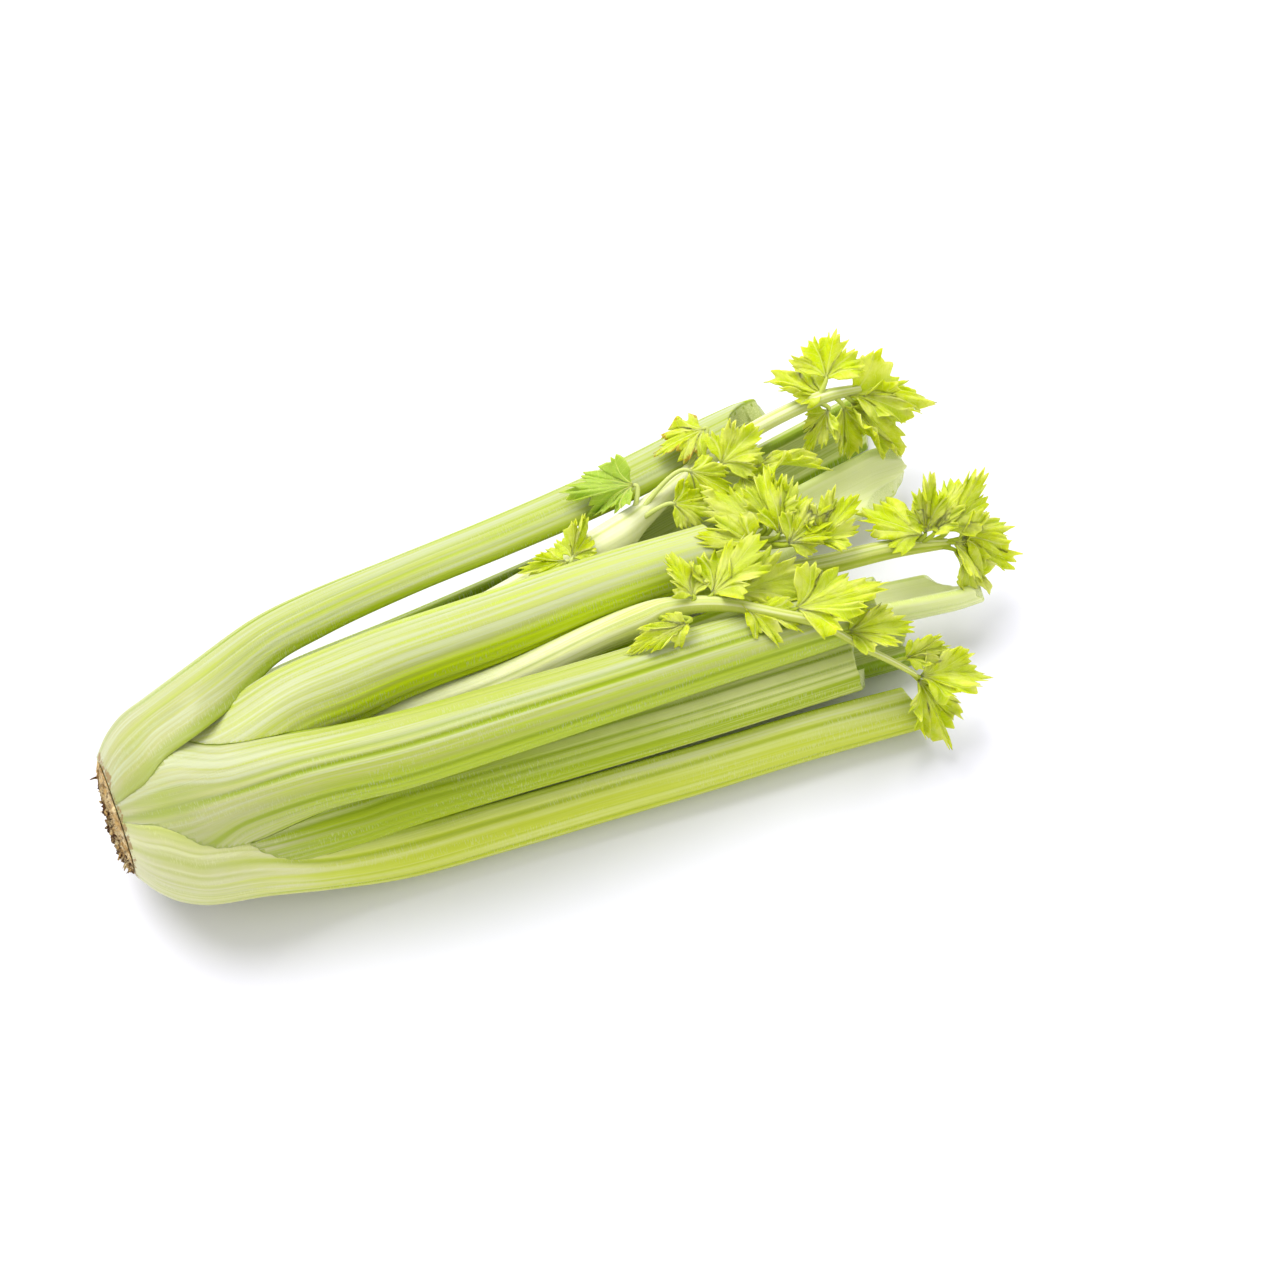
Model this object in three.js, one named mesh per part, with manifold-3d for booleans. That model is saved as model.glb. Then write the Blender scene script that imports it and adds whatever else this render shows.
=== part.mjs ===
// A head of celery, trimmed and lying on its side: a root crown, ten cut stalks whose sheathing bases wrap
// round each other at the butt, and four leafy stems that grow out of the heart.
// Millimetres and degrees. +X runs from the root end to the leaf tips, +Z is up, and -Y is the near side.
// The origin is on the surface that the head lies on, at the flat spot under the butt's belly.
// Angles round the head are counted from +Y (far side) towards +Z (up).
import * as THREE from "three";
import { mergeVertices } from "three/addons/utils/BufferGeometryUtils.js";
import Module from "manifold-3d";

const wasm = await Module();
wasm.setup();

// ---- Driving dimensions ----
const ROOT_X = -60; // plane where the stalks leave the root crown
const AXIS_Z = 40; // height of the head's middle line at the butt
const BELLY_SHIFT = -2.5; // how far the belly lies nearer than the root crown
const PLATE_RADIUS = 22.5; // of the ring of stalk bases at the root crown
const BELLY_RADIUS = 42; // of the butt where it is widest
const SWELL_LENGTH = 12; // how quickly the butt swells from one to the other
const LAYER_INSET = 5.5; // how far each whorl of sheaths lies inside the one before it, at the belly
const SHEATH_THICKNESS = 6.5;
const SHEATH_EDGE = 1.3; // thickness of a sheath's side edges
const STALK_EDGE = 4.2; // thickness of a stalk's side edges beyond the butt
const STALK_SPAN = 100; // half of the arc that a stalk's outside covers
const NECK_SPAN = 88; // the same just beyond the shoulder, where the sheath has become a stalk
const WALL_SHARE = 0.7; // a stalk's thickness in the middle, as a share of its outer radius
const WALL_ROUNDING = 2.2; // power of the fall in thickness from the middle to the edges
const LEAST_GROOVE = 0.15; // least radius of a groove, as a share of the outer radius
const RIB_HEIGHT = 0.9;
const RIB_SHARE = 0.08; // most that a rib stands out of a slim section, as a share of its radius
const STALK_RIBS = 7;
const HIDDEN_STALK_RIBS = 4;
const STEM_RIBS = 4;
// A leafy stem's thickness as a share of its radius, and that of its edges as a share of its thickness.
const STEM_WALL = { petiole: 0.78, rachis: 0.92, edge: 0.75 };
const INNER_POINTS = 5; // points along the groove of a section
// Sheath stations: [distance from ROOT_X, radius as a share of the butt's, progress of the span along wrap].
const SHEATH_STATIONS = [[0, 1, 0], [5, 1, 0.25], [12, 1, 0.5], [22, 0.93, 1]];
const STALK_STATIONS = [0, 4, 11, 22, 34, 47, 62, 84, 118, 160, 212, 264];
const STEM_STATIONS = [0, 34, 80, 125, 162, 184, 200, 216, 232, 246, 258, 270, 284, 298];
const LAST_STEP = 9; // least distance between the last station and a cut end
const GAP = 0.3; // left between neighbouring pieces

// The cut stalks, outermost first. angle and layer place the sheath in the butt. wrap is half of the arc
// that it covers at the root, at the belly and at the shoulder. path gives [x, y, z, radius, outward angle]
// of the stalk from its shoulder to its end, taken at its hollow's middle. cut leans the end, as mm along X
// for each mm sideways and each mm outwards. A hidden stalk has fewer ribs.
const STALKS = [
  { name: "stalk_far_side", color: 0xbfd76b, angle: 45, layer: 0, wrap: [66, 52, 66], cut: [-1, 0.4],
    path: [[-20, 11.5, 53, 26.5, 46], [8, 36, 50.5, 15.6, 48], [30, 45, 47.5, 12.8, 46],
      [67, 52.5, 42, 12, 42], [108, 57.5, 39.5, 12, 42], [150, 63, 38, 12.4, 42],
      [194, 71, 37, 12.6, 40], [210, 74, 36.5, 12.2, 38]] },
  { name: "stalk_floor_middle", color: 0xb7cf6a, angle: 272, layer: 0,
    wrap: [60, 58, 64], cut: [0.1, -0.2], hidden: true,
    path: [[-20, -2, 24.6, 26, 271], [8, 0.5, 17.3, 18.8, 270], [36, 2.5, 12.6, 14, 270],
      [100, 6, 10.9, 11.8, 270], [160, 8, 10.8, 11.4, 270], [214, 10, 10.7, 11.2, 270]] },
  { name: "stalk_near_floor", color: 0xb9d25f, angle: 206, layer: 0, wrap: [80, 68, 80], cut: [0.1, 0.4],
    path: [[-20, -17.5, 33.5, 25.5, 205], [4, -27, 22, 17, 203], [32, -31.5, 14.6, 14.6, 200],
      [69, -34.5, 13.2, 13.7, 195], [107, -36.5, 12.9, 13.4, 194], [146, -38.5, 12.8, 13.3, 195],
      [185, -40, 12.7, 13.2, 195], [227, -43, 12.2, 12.7, 195]] },
  { name: "stalk_top_near", color: 0xc3da74, angle: 130, layer: 0.5, wrap: [58, 62, 62], cut: [0.1, -0.6],
    path: [[-20, -12, 52.7, 22.8, 130], [6, -20, 62, 15.2, 128], [39, -25, 64, 13.8, 126],
      [76, -26.5, 64, 12.9, 124], [114, -26.5, 62, 12, 122], [153, -25.5, 59, 11.5, 120],
      [192, -24.5, 55, 11, 118], [226, -23, 51, 10, 118]] },
  { name: "stalk_floor_far", color: 0xa9c552, angle: 338, layer: 1,
    wrap: [60, 60, 64], cut: [0, 0.3], hidden: true,
    path: [[-20, 9, 35, 22, 337], [14, 32, 21.5, 15.4, 336], [63, 45, 11.9, 12.9, 330],
      [104, 50, 11.5, 12.4, 328], [150, 56, 11.2, 12.1, 328], [191, 64, 11.1, 12, 328],
      [236, 73, 10.9, 11.8, 328], [264, 79, 10.7, 11.6, 328]] },
  { name: "stalk_floor_near", color: 0xb0ca5e, angle: 243, layer: 1,
    wrap: [54, 54, 60], cut: [0.1, -0.35], hidden: true,
    path: [[-20, -10, 28, 22, 246], [18, -12, 16, 13.6, 252], [60, -11.5, 11.9, 12, 262],
      [120, -12.5, 11.2, 11.5, 262], [180, -14.5, 11.2, 11.4, 262], [242, -18, 11.2, 11.2, 262]] },
  { name: "stalk_top_far", color: 0xc6dd7a, angle: 84, layer: 1, wrap: [60, 62, 76], cut: [-0.1, -0.1],
    path: [[-20, -3, 52.2, 22.5, 84], [8, 4, 61.8, 17, 88], [30, 7.5, 62.8, 15.4, 91],
      [52, 10, 62.8, 14.4, 93], [92, 12, 61.2, 13.6, 93], [131, 15, 59, 12.4, 92],
      [174, 15.5, 57.5, 11.2, 90]] },
  { name: "stalk_near_side", color: 0xb4cd5c, angle: 174, layer: 1.2, wrap: [52, 54, 60], cut: [0.2, -0.3],
    path: [[-20, -17, 40.5, 21.5, 175], [18, -26, 40, 14.5, 176], [36, -27.5, 39.5, 12.8, 176],
      [73, -29.5, 38.6, 11.8, 176], [111, -31, 37.4, 11.5, 176], [150, -32, 36, 11.4, 176],
      [191, -31.5, 32.5, 11.2, 174], [213, -31, 30, 11, 172]] },
  { name: "stalk_floor_inner", color: 0xaac656, angle: 312, layer: 2,
    wrap: [50, 50, 58], cut: [0.5, 1.1], hidden: true,
    path: [[-20, 3, 31.5, 19, 308], [15, 20, 17, 14.5, 302], [60, 25, 12.5, 12.2, 300],
      [120, 29, 11.8, 11.7, 298], [180, 36, 12.4, 11.7, 296], [226, 44, 16, 11.6, 292],
      [256, 48, 19, 11.2, 290]] },
  { name: "stalk_inner", color: 0xbcd46c, angle: 215, layer: 3,
    wrap: [56, 56, 60], cut: [-0.5, 0.9], hidden: true,
    path: [[-20, -8, 38.5, 16, 212], [20, -6, 40, 12.5, 210], [60, -6, 38, 11.4, 215],
      [110, -6, 37, 11.2, 220], [150, -6.5, 36, 11, 225], [220, -8, 30, 10.8, 235],
      [260, -9, 23, 10.4, 240]] },
];

// The leafy stems. path gives [x, y, z, radius, half span, outward angle]: a petiole as far as node, and
// beyond it the slim rachis that carries the leaflets. A leaflet is [x where its stalk leaves the stem, then
// the x, y, z of its blade's foot, its heading in plan, its pitch, its length, its width and its roll].
const STEMS = [
  { name: "leafy_stem_far", color: 0xd3dd6a, node: 150,
    path: [[-44, 5, 45, 6, 110, 50], [-10, 6, 48, 7.5, 110, 50], [60, 20, 48, 8, 110, 60],
      [120, 33, 48.5, 8, 112, 70], [146, 39, 50, 8, 125, 75], [158, 45, 50.5, 5.4, 150, 80],
      [186, 58.5, 49.5, 3.4, 165, 80], [214, 66.5, 50, 3.1, 165, 80], [242, 72.5, 46.5, 2.7, 165, 80],
      [258, 72.5, 44, 2, 165, 80]],
    leaflets: [[240, 243, 72, 48, 140, 10, 25, 24, 10], [240, 245, 76, 52, 57, 40, 20, 27, -20],
      [250, 252, 71, 45, -11, -8, 38, 26, 5], [250, 253, 69, 43, -42, -42, 36, 27, 10],
      [246, 249, 68, 43, -80, -62, 27, 24, 0], [238, 243, 68, 44, -150, -35, 20, 17, 0],
      [150, 178, 50, 62, -49, -6, 21, 18, 20], [178, 190, 48, 62, 20, 22, 22, 24, 20],
      [186, 202, 45, 58, 0, -8, 34, 18, -10], [180, 196, 44, 57, -57, 4, 24, 20, 0],
      [150, 168, 41, 58, -28, 0, 18, 17, 10], [118, 124, 29, 62, 49, 14, 20, 15, 30],
      [118, 122, 29, 62, 175, 6, 18, 13, -25], [150, 158, 53, 59, 163, -2, 28, 22, -15],
      [176, 192, 68, 58, -177, 2, 22, 22, 15]] },
  { name: "leafy_stem_near", color: 0xd0dc66, node: 140,
    path: [[-44, -7, 43, 5.5, 110, 130], [-10, -7, 49, 6.5, 110, 125], [40, -6, 53.5, 6.2, 110, 120],
      [83, -7, 56.5, 6, 112, 110], [122, -5, 61, 6, 120, 100], [138, -4.5, 62, 6, 135, 95],
      [148, -5.5, 65.4, 4.2, 150, 90], [164, -12.5, 69.4, 3, 165, 90], [182, -24.5, 70.2, 2.4, 165, 90],
      [196, -32, 66.2, 2.2, 165, 90], [209, -41, 56.4, 2, 165, 90], [219, -45, 47, 1.8, 165, 90],
      [229, -47.5, 35, 1.6, 165, 90]],
    leaflets: [[140, 150, -20, 77, -175, -4, 26, 12, 0], [148, 157, -8, 71.5, 99, 24, 20, 16, 20],
      [148, 163, -9.5, 71.5, 28, 22, 31, 27, -15], [156, 170, -11, 70.5, 0, 6, 34, 28, 15],
      [176, 189, -25, 70, -4, 4, 36, 30, 10], [196, 205, -35, 60, -12, -2, 28, 20, 20],
      [164, 172, -19, 71, -36, 2, 22, 18, -10], [226, 230, -48, 34, -8, -14, 32, 22, 15],
      [226, 229, -48, 33, -66, -46, 34, 22, 0], [220, 226, -42, 40, 0, -8, 22, 12, 10]] },
  { name: "leafy_stem_right", color: 0xcfdb62, node: 150,
    path: [[-44, 0, 36, 5.5, 110, 50], [-10, 2, 41, 6, 110, 55], [40, 4, 47, 5.2, 110, 60],
      [86, 6, 47.5, 5, 112, 70], [143, 8, 50, 4.6, 130, 80], [181, 5, 50.5, 4.2, 160, 80],
      [211, 1, 49, 4, 165, 80], [240, 1, 44, 3.6, 165, 80], [262, -2, 40, 2, 165, 80]],
    leaflets: [[244, 252, 1, 46, 133, 14, 28, 28, 5], [246, 253, 1, 47, 65, 42, 25, 18, 15],
      [248, 256, 0, 47, 38, 44, 22, 14, -15], [250, 262, 1, 43, 37, 18, 30, 24, 15],
      [254, 263, -3, 41, -20, -24, 32, 26, 20], [254, 263, -5, 39, -28, -46, 30, 20, 0],
      [256, 266, -2, 41, 8, -10, 28, 24, 10]] },
  { name: "leafy_stem_heart", color: 0xd6de70, node: 160,
    path: [[-44, -5, 50, 5, 110, 60], [-10, 3, 38, 5.5, 110, 45], [60, 15, 33, 6, 110, 35],
      [120, 20, 36, 6, 112, 40], [156, 23, 44, 5, 130, 60], [176, 20, 54, 3.6, 160, 80],
      [194, 10, 61, 2.6, 165, 90], [206, 4, 64, 1.6, 165, 90]],
    leaflets: [[186, 194, 15, 64, 124, 12, 30, 25, 10], [190, 197, 15, 64, 78, 22, 24, 22, -10],
      [200, 209, 2, 63, 29, 10, 26, 22, 10], [194, 198, 4, 66, 14, 12, 24, 20, 25],
      [184, 188, 8, 66, 158, 14, 24, 24, -20], [190, 197, 9, 66, 52, 24, 24, 22, 15]] },
];

// A leaflet: its stalk's half width at the stem and at the blade, and where that stalk turns towards the
// blade, as a share of its length before it.
const LEAF_THICKNESS = 0.9;
const LEAF_STALK = [1.1, 0.7];
const LEAF_STALK_BOW = 0.4;
const LEAF_STALK_STEPS = 2;

// Half of a leaflet's outline: degrees from its midrib and distance from its foot as a share of its length.
// The points run from the tip lobe, over the side lobe, to the small lobe beside the foot.
const LEAF_OUTLINE = [[0, 1], [11, 0.87], [18, 0.9], [29, 0.68], [38, 0.85], [50, 0.86], [61, 0.64],
  [76, 0.66], [94, 0.36]];
const LEAF_RING = [0, 3, 5, 8]; // outline points that the ring across the blade's middle follows
const LEAF_RING_SHARE = 0.55;
const LEAF_NATURAL_WIDTH = 1.3; // width of that outline as a share of its length
const LEAF_DROOP = 0.18; // fall of the tip below a straight blade, as a share of the length
const LEAF_FOLD = 0.12; // height of the sinuses above the lobes, as a share of the length

// The root crown: a cut disc under the stalks, its short core inside them, and stubs of trimmed rootlets.
const CROWN = {
  color: 0xc9a873,
  back: -63,
  radius: 22,
  core: 10,
  coreTip: -38,
  segments: 16,
  rough: 0.7,
  rootlets: 10,
  rootletLength: 5,
  rootletRadius: [1.1, 0.4],
  seed: 7,
};

const radians = THREE.MathUtils.degToRad;

function seededRandom(seed) {
  let state = seed;
  return () => {
    state = (state * 16807) % 2147483647;
    return state / 2147483647;
  };
}

// Value of a column of keys at x, on a smooth cubic through them. Each key starts with its x.
function along(keys, x, column) {
  if (x <= keys[0][0]) return keys[0][column];
  const last = keys.length - 1;
  if (x >= keys[last][0]) return keys[last][column];
  let i = 0;
  while (x > keys[i + 1][0]) i++;
  const slope = (k) => {
    const a = Math.max(k - 1, 0);
    const b = Math.min(k + 1, last);
    return (keys[b][column] - keys[a][column]) / (keys[b][0] - keys[a][0]);
  };
  const step = keys[i + 1][0] - keys[i][0];
  const t = (x - keys[i][0]) / step;
  const s = 1 - t;
  return (1 + 2 * t) * s * s * keys[i][column] + t * s * s * step * slope(i)
    + t * t * (3 - 2 * t) * keys[i + 1][column] - t * t * s * step * slope(i + 1);
}

// How far the butt has swollen at a distance from the root crown, from 0 to 1.
function swell(distance) {
  return 1 - Math.exp(-distance / SWELL_LENGTH);
}

// Keys of a stalk: [x, y, z, radius, span, thickness, edge, outward angle].
function stalkKeys(stalk) {
  const turned = (angle) => angle + 360 * Math.round((stalk.angle - angle) / 360);
  const [atRoot, atBelly, atShoulder] = stalk.wrap;
  const sheath = SHEATH_STATIONS.map(([distance, share, progress]) => {
    const swollen = swell(distance);
    const inset = stalk.layer * LAYER_INSET * swollen;
    const reach = THREE.MathUtils.lerp(PLATE_RADIUS, BELLY_RADIUS, swollen) - inset;
    const out = reach * (1 - share);
    const span = THREE.MathUtils.lerp(atRoot, atBelly, progress);
    const y = BELLY_SHIFT * swollen + out * Math.cos(radians(stalk.angle));
    const z = AXIS_Z + out * Math.sin(radians(stalk.angle));
    return [ROOT_X + distance, y, z, reach * share, span, SHEATH_THICKNESS, SHEATH_EDGE, stalk.angle];
  });
  const free = stalk.path.map(([x, y, z, radius, angle], i) => {
    const span = [atShoulder, NECK_SPAN][i] ?? STALK_SPAN;
    const edge = [SHEATH_EDGE, (STALK_EDGE + SHEATH_EDGE) / 2][i] ?? STALK_EDGE;
    const wall = [SHEATH_THICKNESS + 1][i] ?? radius * WALL_SHARE;
    return [x, y, z, radius, span, wall, edge, turned(angle)];
  });
  return [...sheath, ...free];
}

// Keys of a leafy stem, whose section closes to a round rod beyond the node.
function stemKeys(stem) {
  return stem.path.map(([x, y, z, radius, span, angle]) => {
    const wall = radius * (x > stem.node ? STEM_WALL.rachis : STEM_WALL.petiole);
    return [x, y, z, radius, span, wall, wall * STEM_WALL.edge, angle];
  });
}

// One section in the plane of x: the ribbed outside from edge to edge, then the smooth groove back.
function section(keys, x, ribs, grow) {
  const [, y, z, radius, span, wall, edge, angle] = keys[0].map((_, column) => along(keys, x, column));
  const half = radians(span) + grow / radius;
  const turn = radians(angle);
  const place = (theta, r) => ({
    point: new THREE.Vector3(x, y + r * Math.cos(turn + theta), z + r * Math.sin(turn + theta)),
    across: r * Math.sin(theta),
    out: r * Math.cos(theta),
  });
  const outer = [];
  const inner = [];
  const outside = 2 * ribs + 1;
  const ribHeight = Math.min(RIB_HEIGHT, radius * RIB_SHARE);
  for (let i = 0; i < outside; i++) {
    const share = (2 * i) / (outside - 1) - 1;
    const rib = i % 2 ? 0 : -ribHeight;
    outer.push(place(half * share, radius + rib + grow));
  }
  for (let i = 0; i < INNER_POINTS; i++) {
    const share = 1 - (2 * i) / (INNER_POINTS - 1);
    const thickness = edge + (wall - edge) * (1 - Math.abs(share) ** WALL_ROUNDING);
    inner.push(place(half * share, Math.max(radius - thickness - grow, LEAST_GROOVE * radius)));
  }
  return [...outer, ...inner];
}

// Triangles across a section, between its outside and its groove, as indexes into its ring of points.
function capTriangles(outside, count) {
  const inside = count - outside;
  const found = [];
  let i = 0;
  let j = 0;
  const inner = (k) => count - 1 - k;
  while (i < outside - 1 || j < inside - 1) {
    const nextOuter = (i + 1) / (outside - 1);
    const nextInner = (j + 1) / (inside - 1);
    if (j === inside - 1 || (i < outside - 1 && nextOuter <= nextInner)) {
      found.push([i, i + 1, inner(j)]);
      i++;
    } else {
      found.push([i, inner(j + 1), inner(j)]);
      j++;
    }
  }
  return found;
}

function geometryOf(points, triangles) {
  const geometry = new THREE.BufferGeometry();
  const coordinates = points.flatMap((p) => [p.x, p.y, p.z]);
  geometry.setAttribute("position", new THREE.Float32BufferAttribute(coordinates, 3));
  geometry.setIndex(triangles.flat());
  return geometry;
}

// A closed body through sections that all have the same number of points.
function loft(rings, outside) {
  const count = rings[0].length;
  const points = rings.flat();
  const triangles = [];
  for (let k = 0; k + 1 < rings.length; k++)
    for (let i = 0; i < count; i++) {
      const a = k * count + i;
      const b = k * count + ((i + 1) % count);
      triangles.push([a, b, b + count], [a, b + count, a + count]);
    }
  const top = (rings.length - 1) * count;
  for (const [a, b, c] of capTriangles(outside, count))
    triangles.push([a, c, b], [top + a, top + b, top + c]);
  return geometryOf(points, triangles);
}

// A geometry as a manifold-3d solid.
function solidOf(geometry) {
  const bare = new THREE.BufferGeometry();
  bare.setAttribute("position", geometry.getAttribute("position"));
  bare.setIndex(geometry.getIndex());
  const merged = mergeVertices(bare, 1e-4);
  const triVerts = new Uint32Array(merged.index.array);
  const vertProperties = new Float32Array(merged.getAttribute("position").array);
  const make = () => new wasm.Manifold(new wasm.Mesh({ numProp: 3, vertProperties, triVerts }));
  const made = make();
  if (made.volume() > 0) return made;
  for (let i = 0; i < triVerts.length; i += 3)
    [triVerts[i], triVerts[i + 1]] = [triVerts[i + 1], triVerts[i]];
  return make();
}

// A petiole as a solid, made larger all over by grow.
function petiole(keys, stations, ribs, cut, grow) {
  const start = keys[0][0];
  const end = keys[keys.length - 1][0];
  const xs = stations.map((s) => start + s).filter((x) => x < end - LAST_STEP);
  xs.push(end);
  const rings = xs.map((x) => section(keys, x, ribs, grow).map(({ point }) => point));
  rings[xs.length - 1] = section(keys, end, ribs, grow).map(({ point, across, out }) =>
    point.setX(end + grow + cut[0] * across + cut[1] * out));
  if (grow > 0) rings.unshift(rings[0].map((point) => point.clone().setX(start - grow)));
  return solidOf(loft(rings, 2 * ribs + 1));
}

// A round rod along a curve through the points, tapering from one radius to the other.
function rod(points, fromRadius, toRadius, sides, steps) {
  const curve = new THREE.CatmullRomCurve3(points);
  const frames = curve.computeFrenetFrames(steps, false);
  const rings = [];
  for (let k = 0; k <= steps; k++) {
    const centre = curve.getPointAt(k / steps);
    const radius = THREE.MathUtils.lerp(fromRadius, toRadius, k / steps);
    const ring = [];
    for (let i = 0; i < sides; i++) {
      const turn = (2 * Math.PI * i) / sides;
      ring.push(centre.clone()
        .addScaledVector(frames.normals[k], radius * Math.cos(turn))
        .addScaledVector(frames.binormals[k], radius * Math.sin(turn)));
    }
    rings.push(ring);
  }
  return solidOf(loft(rings, Math.ceil(sides / 2) + 1));
}

// The directions of a leaflet: along its midrib, across it and out of its upper face.
function leafFrame(heading, pitch, roll) {
  const h = radians(heading);
  const p = radians(pitch);
  const midrib = new THREE.Vector3(Math.cos(p) * Math.cos(h), Math.cos(p) * Math.sin(h), Math.sin(p));
  const across = new THREE.Vector3(-Math.sin(h), Math.cos(h), 0).applyAxisAngle(midrib, radians(roll));
  const up = new THREE.Vector3().crossVectors(midrib, across);
  return { midrib, across, up };
}

// A leaflet as one closed surface: a four-sided stalk from root to foot, and a lobed, toothed blade, thin
// and arched, with its lobes folded down between its veins.
function leaflet(root, foot, frame, length, width, grow) {
  const outline = [
    ...LEAF_OUTLINE.slice(1).reverse().map(([degrees, reach]) => [-degrees, reach]),
    ...LEAF_OUTLINE,
  ];
  const tip = LEAF_OUTLINE.length - 1;
  const ringAt = [...LEAF_RING.slice(1).reverse().map((i) => tip - i), ...LEAF_RING.map((i) => tip + i)];
  const wide = width / (LEAF_NATURAL_WIDTH * length);
  const place = ([degrees, reach], share) => {
    const r = (reach * length + grow) * share;
    const u = r * Math.cos(radians(degrees));
    const v = r * Math.sin(radians(degrees)) * wide;
    const w = LEAF_FOLD * length * share * share * (1 - reach) - (LEAF_DROOP * u * u) / length;
    return foot.clone()
      .addScaledVector(frame.midrib, u)
      .addScaledVector(frame.across, v)
      .addScaledVector(frame.up, w);
  };
  const half = LEAF_STALK[1] + grow;
  const face = [
    foot.clone().addScaledVector(frame.across, -half),
    foot.clone().addScaledVector(frame.across, half),
    ...ringAt.map((i) => place(outline[i], LEAF_RING_SHARE)),
    ...outline.map((point) => place(point, 1)),
  ];
  const ring = ringAt.map((_, k) => 2 + k);
  const rim = outline.map((_, k) => 2 + ring.length + k);
  const middle = LEAF_RING.length - 1;
  const upper = [[0, ring[middle], 1]];
  for (let k = 0; k + 1 < ring.length; k++) {
    const between = Math.round((ringAt[k] + ringAt[k + 1]) / 2);
    upper.push([k < middle ? 0 : 1, ring[k], ring[k + 1]], [ring[k], rim[between], ring[k + 1]]);
    for (let i = ringAt[k]; i < ringAt[k + 1]; i++) {
      const near = i < between ? k : k + 1;
      upper.push([ring[near], rim[i], rim[i + 1]]);
    }
  }
  const border = [0, ring[0], ...rim, ring[ring.length - 1], 1];
  const size = face.length;
  const thick = LEAF_THICKNESS / 2 + grow;
  const points = [
    ...face.map((p) => p.clone().addScaledVector(frame.up, thick)),
    ...face.map((p) => p.clone().addScaledVector(frame.up, -thick)),
  ];
  const triangles = [];
  for (const [a, b, c] of upper) triangles.push([a, b, c], [a + size, c + size, b + size]);
  for (let k = 0; k + 1 < border.length; k++) {
    const [a, b] = [border[k], border[k + 1]];
    triangles.push([a, a + size, b + size], [a, b + size, b]);
  }

  // The stalk's sections go back from the foot, turned as little as its curve allows.
  const bow = foot.clone().addScaledVector(frame.midrib, -LEAF_STALK_BOW * root.distanceTo(foot));
  const curve = new THREE.QuadraticBezierCurve3(root, bow, foot);
  let corners = [0, 1, 1 + size, size];
  let { across, up } = frame;
  let before = frame.midrib;
  for (let step = LEAF_STALK_STEPS - 1; step >= 0; step--) {
    const t = step / LEAF_STALK_STEPS;
    const tangent = curve.getTangent(t);
    const turn = new THREE.Quaternion().setFromUnitVectors(before, tangent);
    across = across.clone().applyQuaternion(turn);
    up = up.clone().applyQuaternion(turn);
    before = tangent;
    const reach = THREE.MathUtils.lerp(LEAF_STALK[0], LEAF_STALK[1], t) + grow;
    const centre = curve.getPoint(t);
    const next = corners.map((_, i) => points.length + i);
    for (const [side, height] of [[-1, 1], [1, 1], [1, -1], [-1, -1]])
      points.push(centre.clone().addScaledVector(across, side * reach).addScaledVector(up, height * reach));
    for (let i = 0; i < 4; i++) {
      const j = (i + 1) % 4;
      triangles.push([next[i], corners[i], corners[j]], [next[i], corners[j], next[j]]);
    }
    corners = next;
  }
  triangles.push([corners[0], corners[1], corners[2]], [corners[0], corners[2], corners[3]]);
  return solidOf(geometryOf(points, triangles));
}

// A leafy stem: its petiole and rachis with its leaflets, fused into one body.
function leafyStem(stem, grow) {
  const keys = stemKeys(stem);
  let made = petiole(keys, STEM_STATIONS, STEM_RIBS, [0, 0], grow);
  for (const [x, footX, footY, footZ, heading, pitch, length, width, roll] of stem.leaflets) {
    const root = new THREE.Vector3(x, along(keys, x, 1), along(keys, x, 2));
    const foot = new THREE.Vector3(footX, footY, footZ);
    made = made.add(leaflet(root, foot, leafFrame(heading, pitch, roll), length, width, grow));
  }
  return made;
}

// The root crown, rough all round, with rootlet stubs on its cut face.
function rootCrown(grow) {
  const random = seededRandom(CROWN.seed);
  const { back, radius, core, coreTip, segments, rough } = CROWN;
  const plate = [[0, back + 0.8], [radius * 0.5, back - 0.4], [radius * 0.86, back], [radius, back + 0.9]];
  const inside = [[radius, ROOT_X - GAP], [core + 5, ROOT_X - GAP], [core, ROOT_X + 3], [core, ROOT_X + 9],
    [core * 0.6, coreTip - 4], [0, coreTip]];
  const grown = (side) => ([r, x]) => new THREE.Vector2(r === 0 ? 0 : r + grow, x + side * grow);
  const lathe = new THREE.LatheGeometry([...plate.map(grown(-1)), ...inside.map(grown(1))], segments);
  lathe.rotateZ(-Math.PI / 2);
  lathe.translate(0, 0, AXIS_Z);
  const position = lathe.getAttribute("position");
  for (let i = 0; i < position.count; i++) {
    const p = new THREE.Vector3().fromBufferAttribute(position, i);
    const turn = Math.atan2(p.y, p.z - AXIS_Z);
    const wave = Math.sin(5 * turn + 1) * Math.cos(3 * turn) * rough;
    if (p.x < ROOT_X - 1 && Math.hypot(p.y, p.z - AXIS_Z) > 1) position.setX(i, p.x + wave);
  }
  let made = solidOf(lathe);
  for (let i = 0; i < CROWN.rootlets; i++) {
    const turn = 2 * Math.PI * random();
    const reach = radius * Math.sqrt(0.15 + 0.7 * random());
    const spread = 0.6 * random();
    const foot = new THREE.Vector3(back + 2.5, reach * Math.cos(turn), AXIS_Z + reach * Math.sin(turn));
    const length = CROWN.rootletLength * (0.6 + 0.6 * random());
    const sideways = length * spread;
    const tip = foot.clone().add(
      new THREE.Vector3(-length, sideways * Math.cos(turn), sideways * Math.sin(turn)));
    const bend = foot.clone().lerp(tip, 0.5).add(new THREE.Vector3(0, 0.6, -0.5));
    const [thick, thin] = CROWN.rootletRadius;
    made = made.add(rod([foot, bend, tip], thick + grow, thin + grow, 4, 2));
  }
  return made;
}

// ---- Assembly: each piece is trimmed by the ones outside it, so that neighbours keep their gap ----
const floor = solidOf(new THREE.BoxGeometry(800, 800, 60).translate(0, 0, -30));

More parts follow.
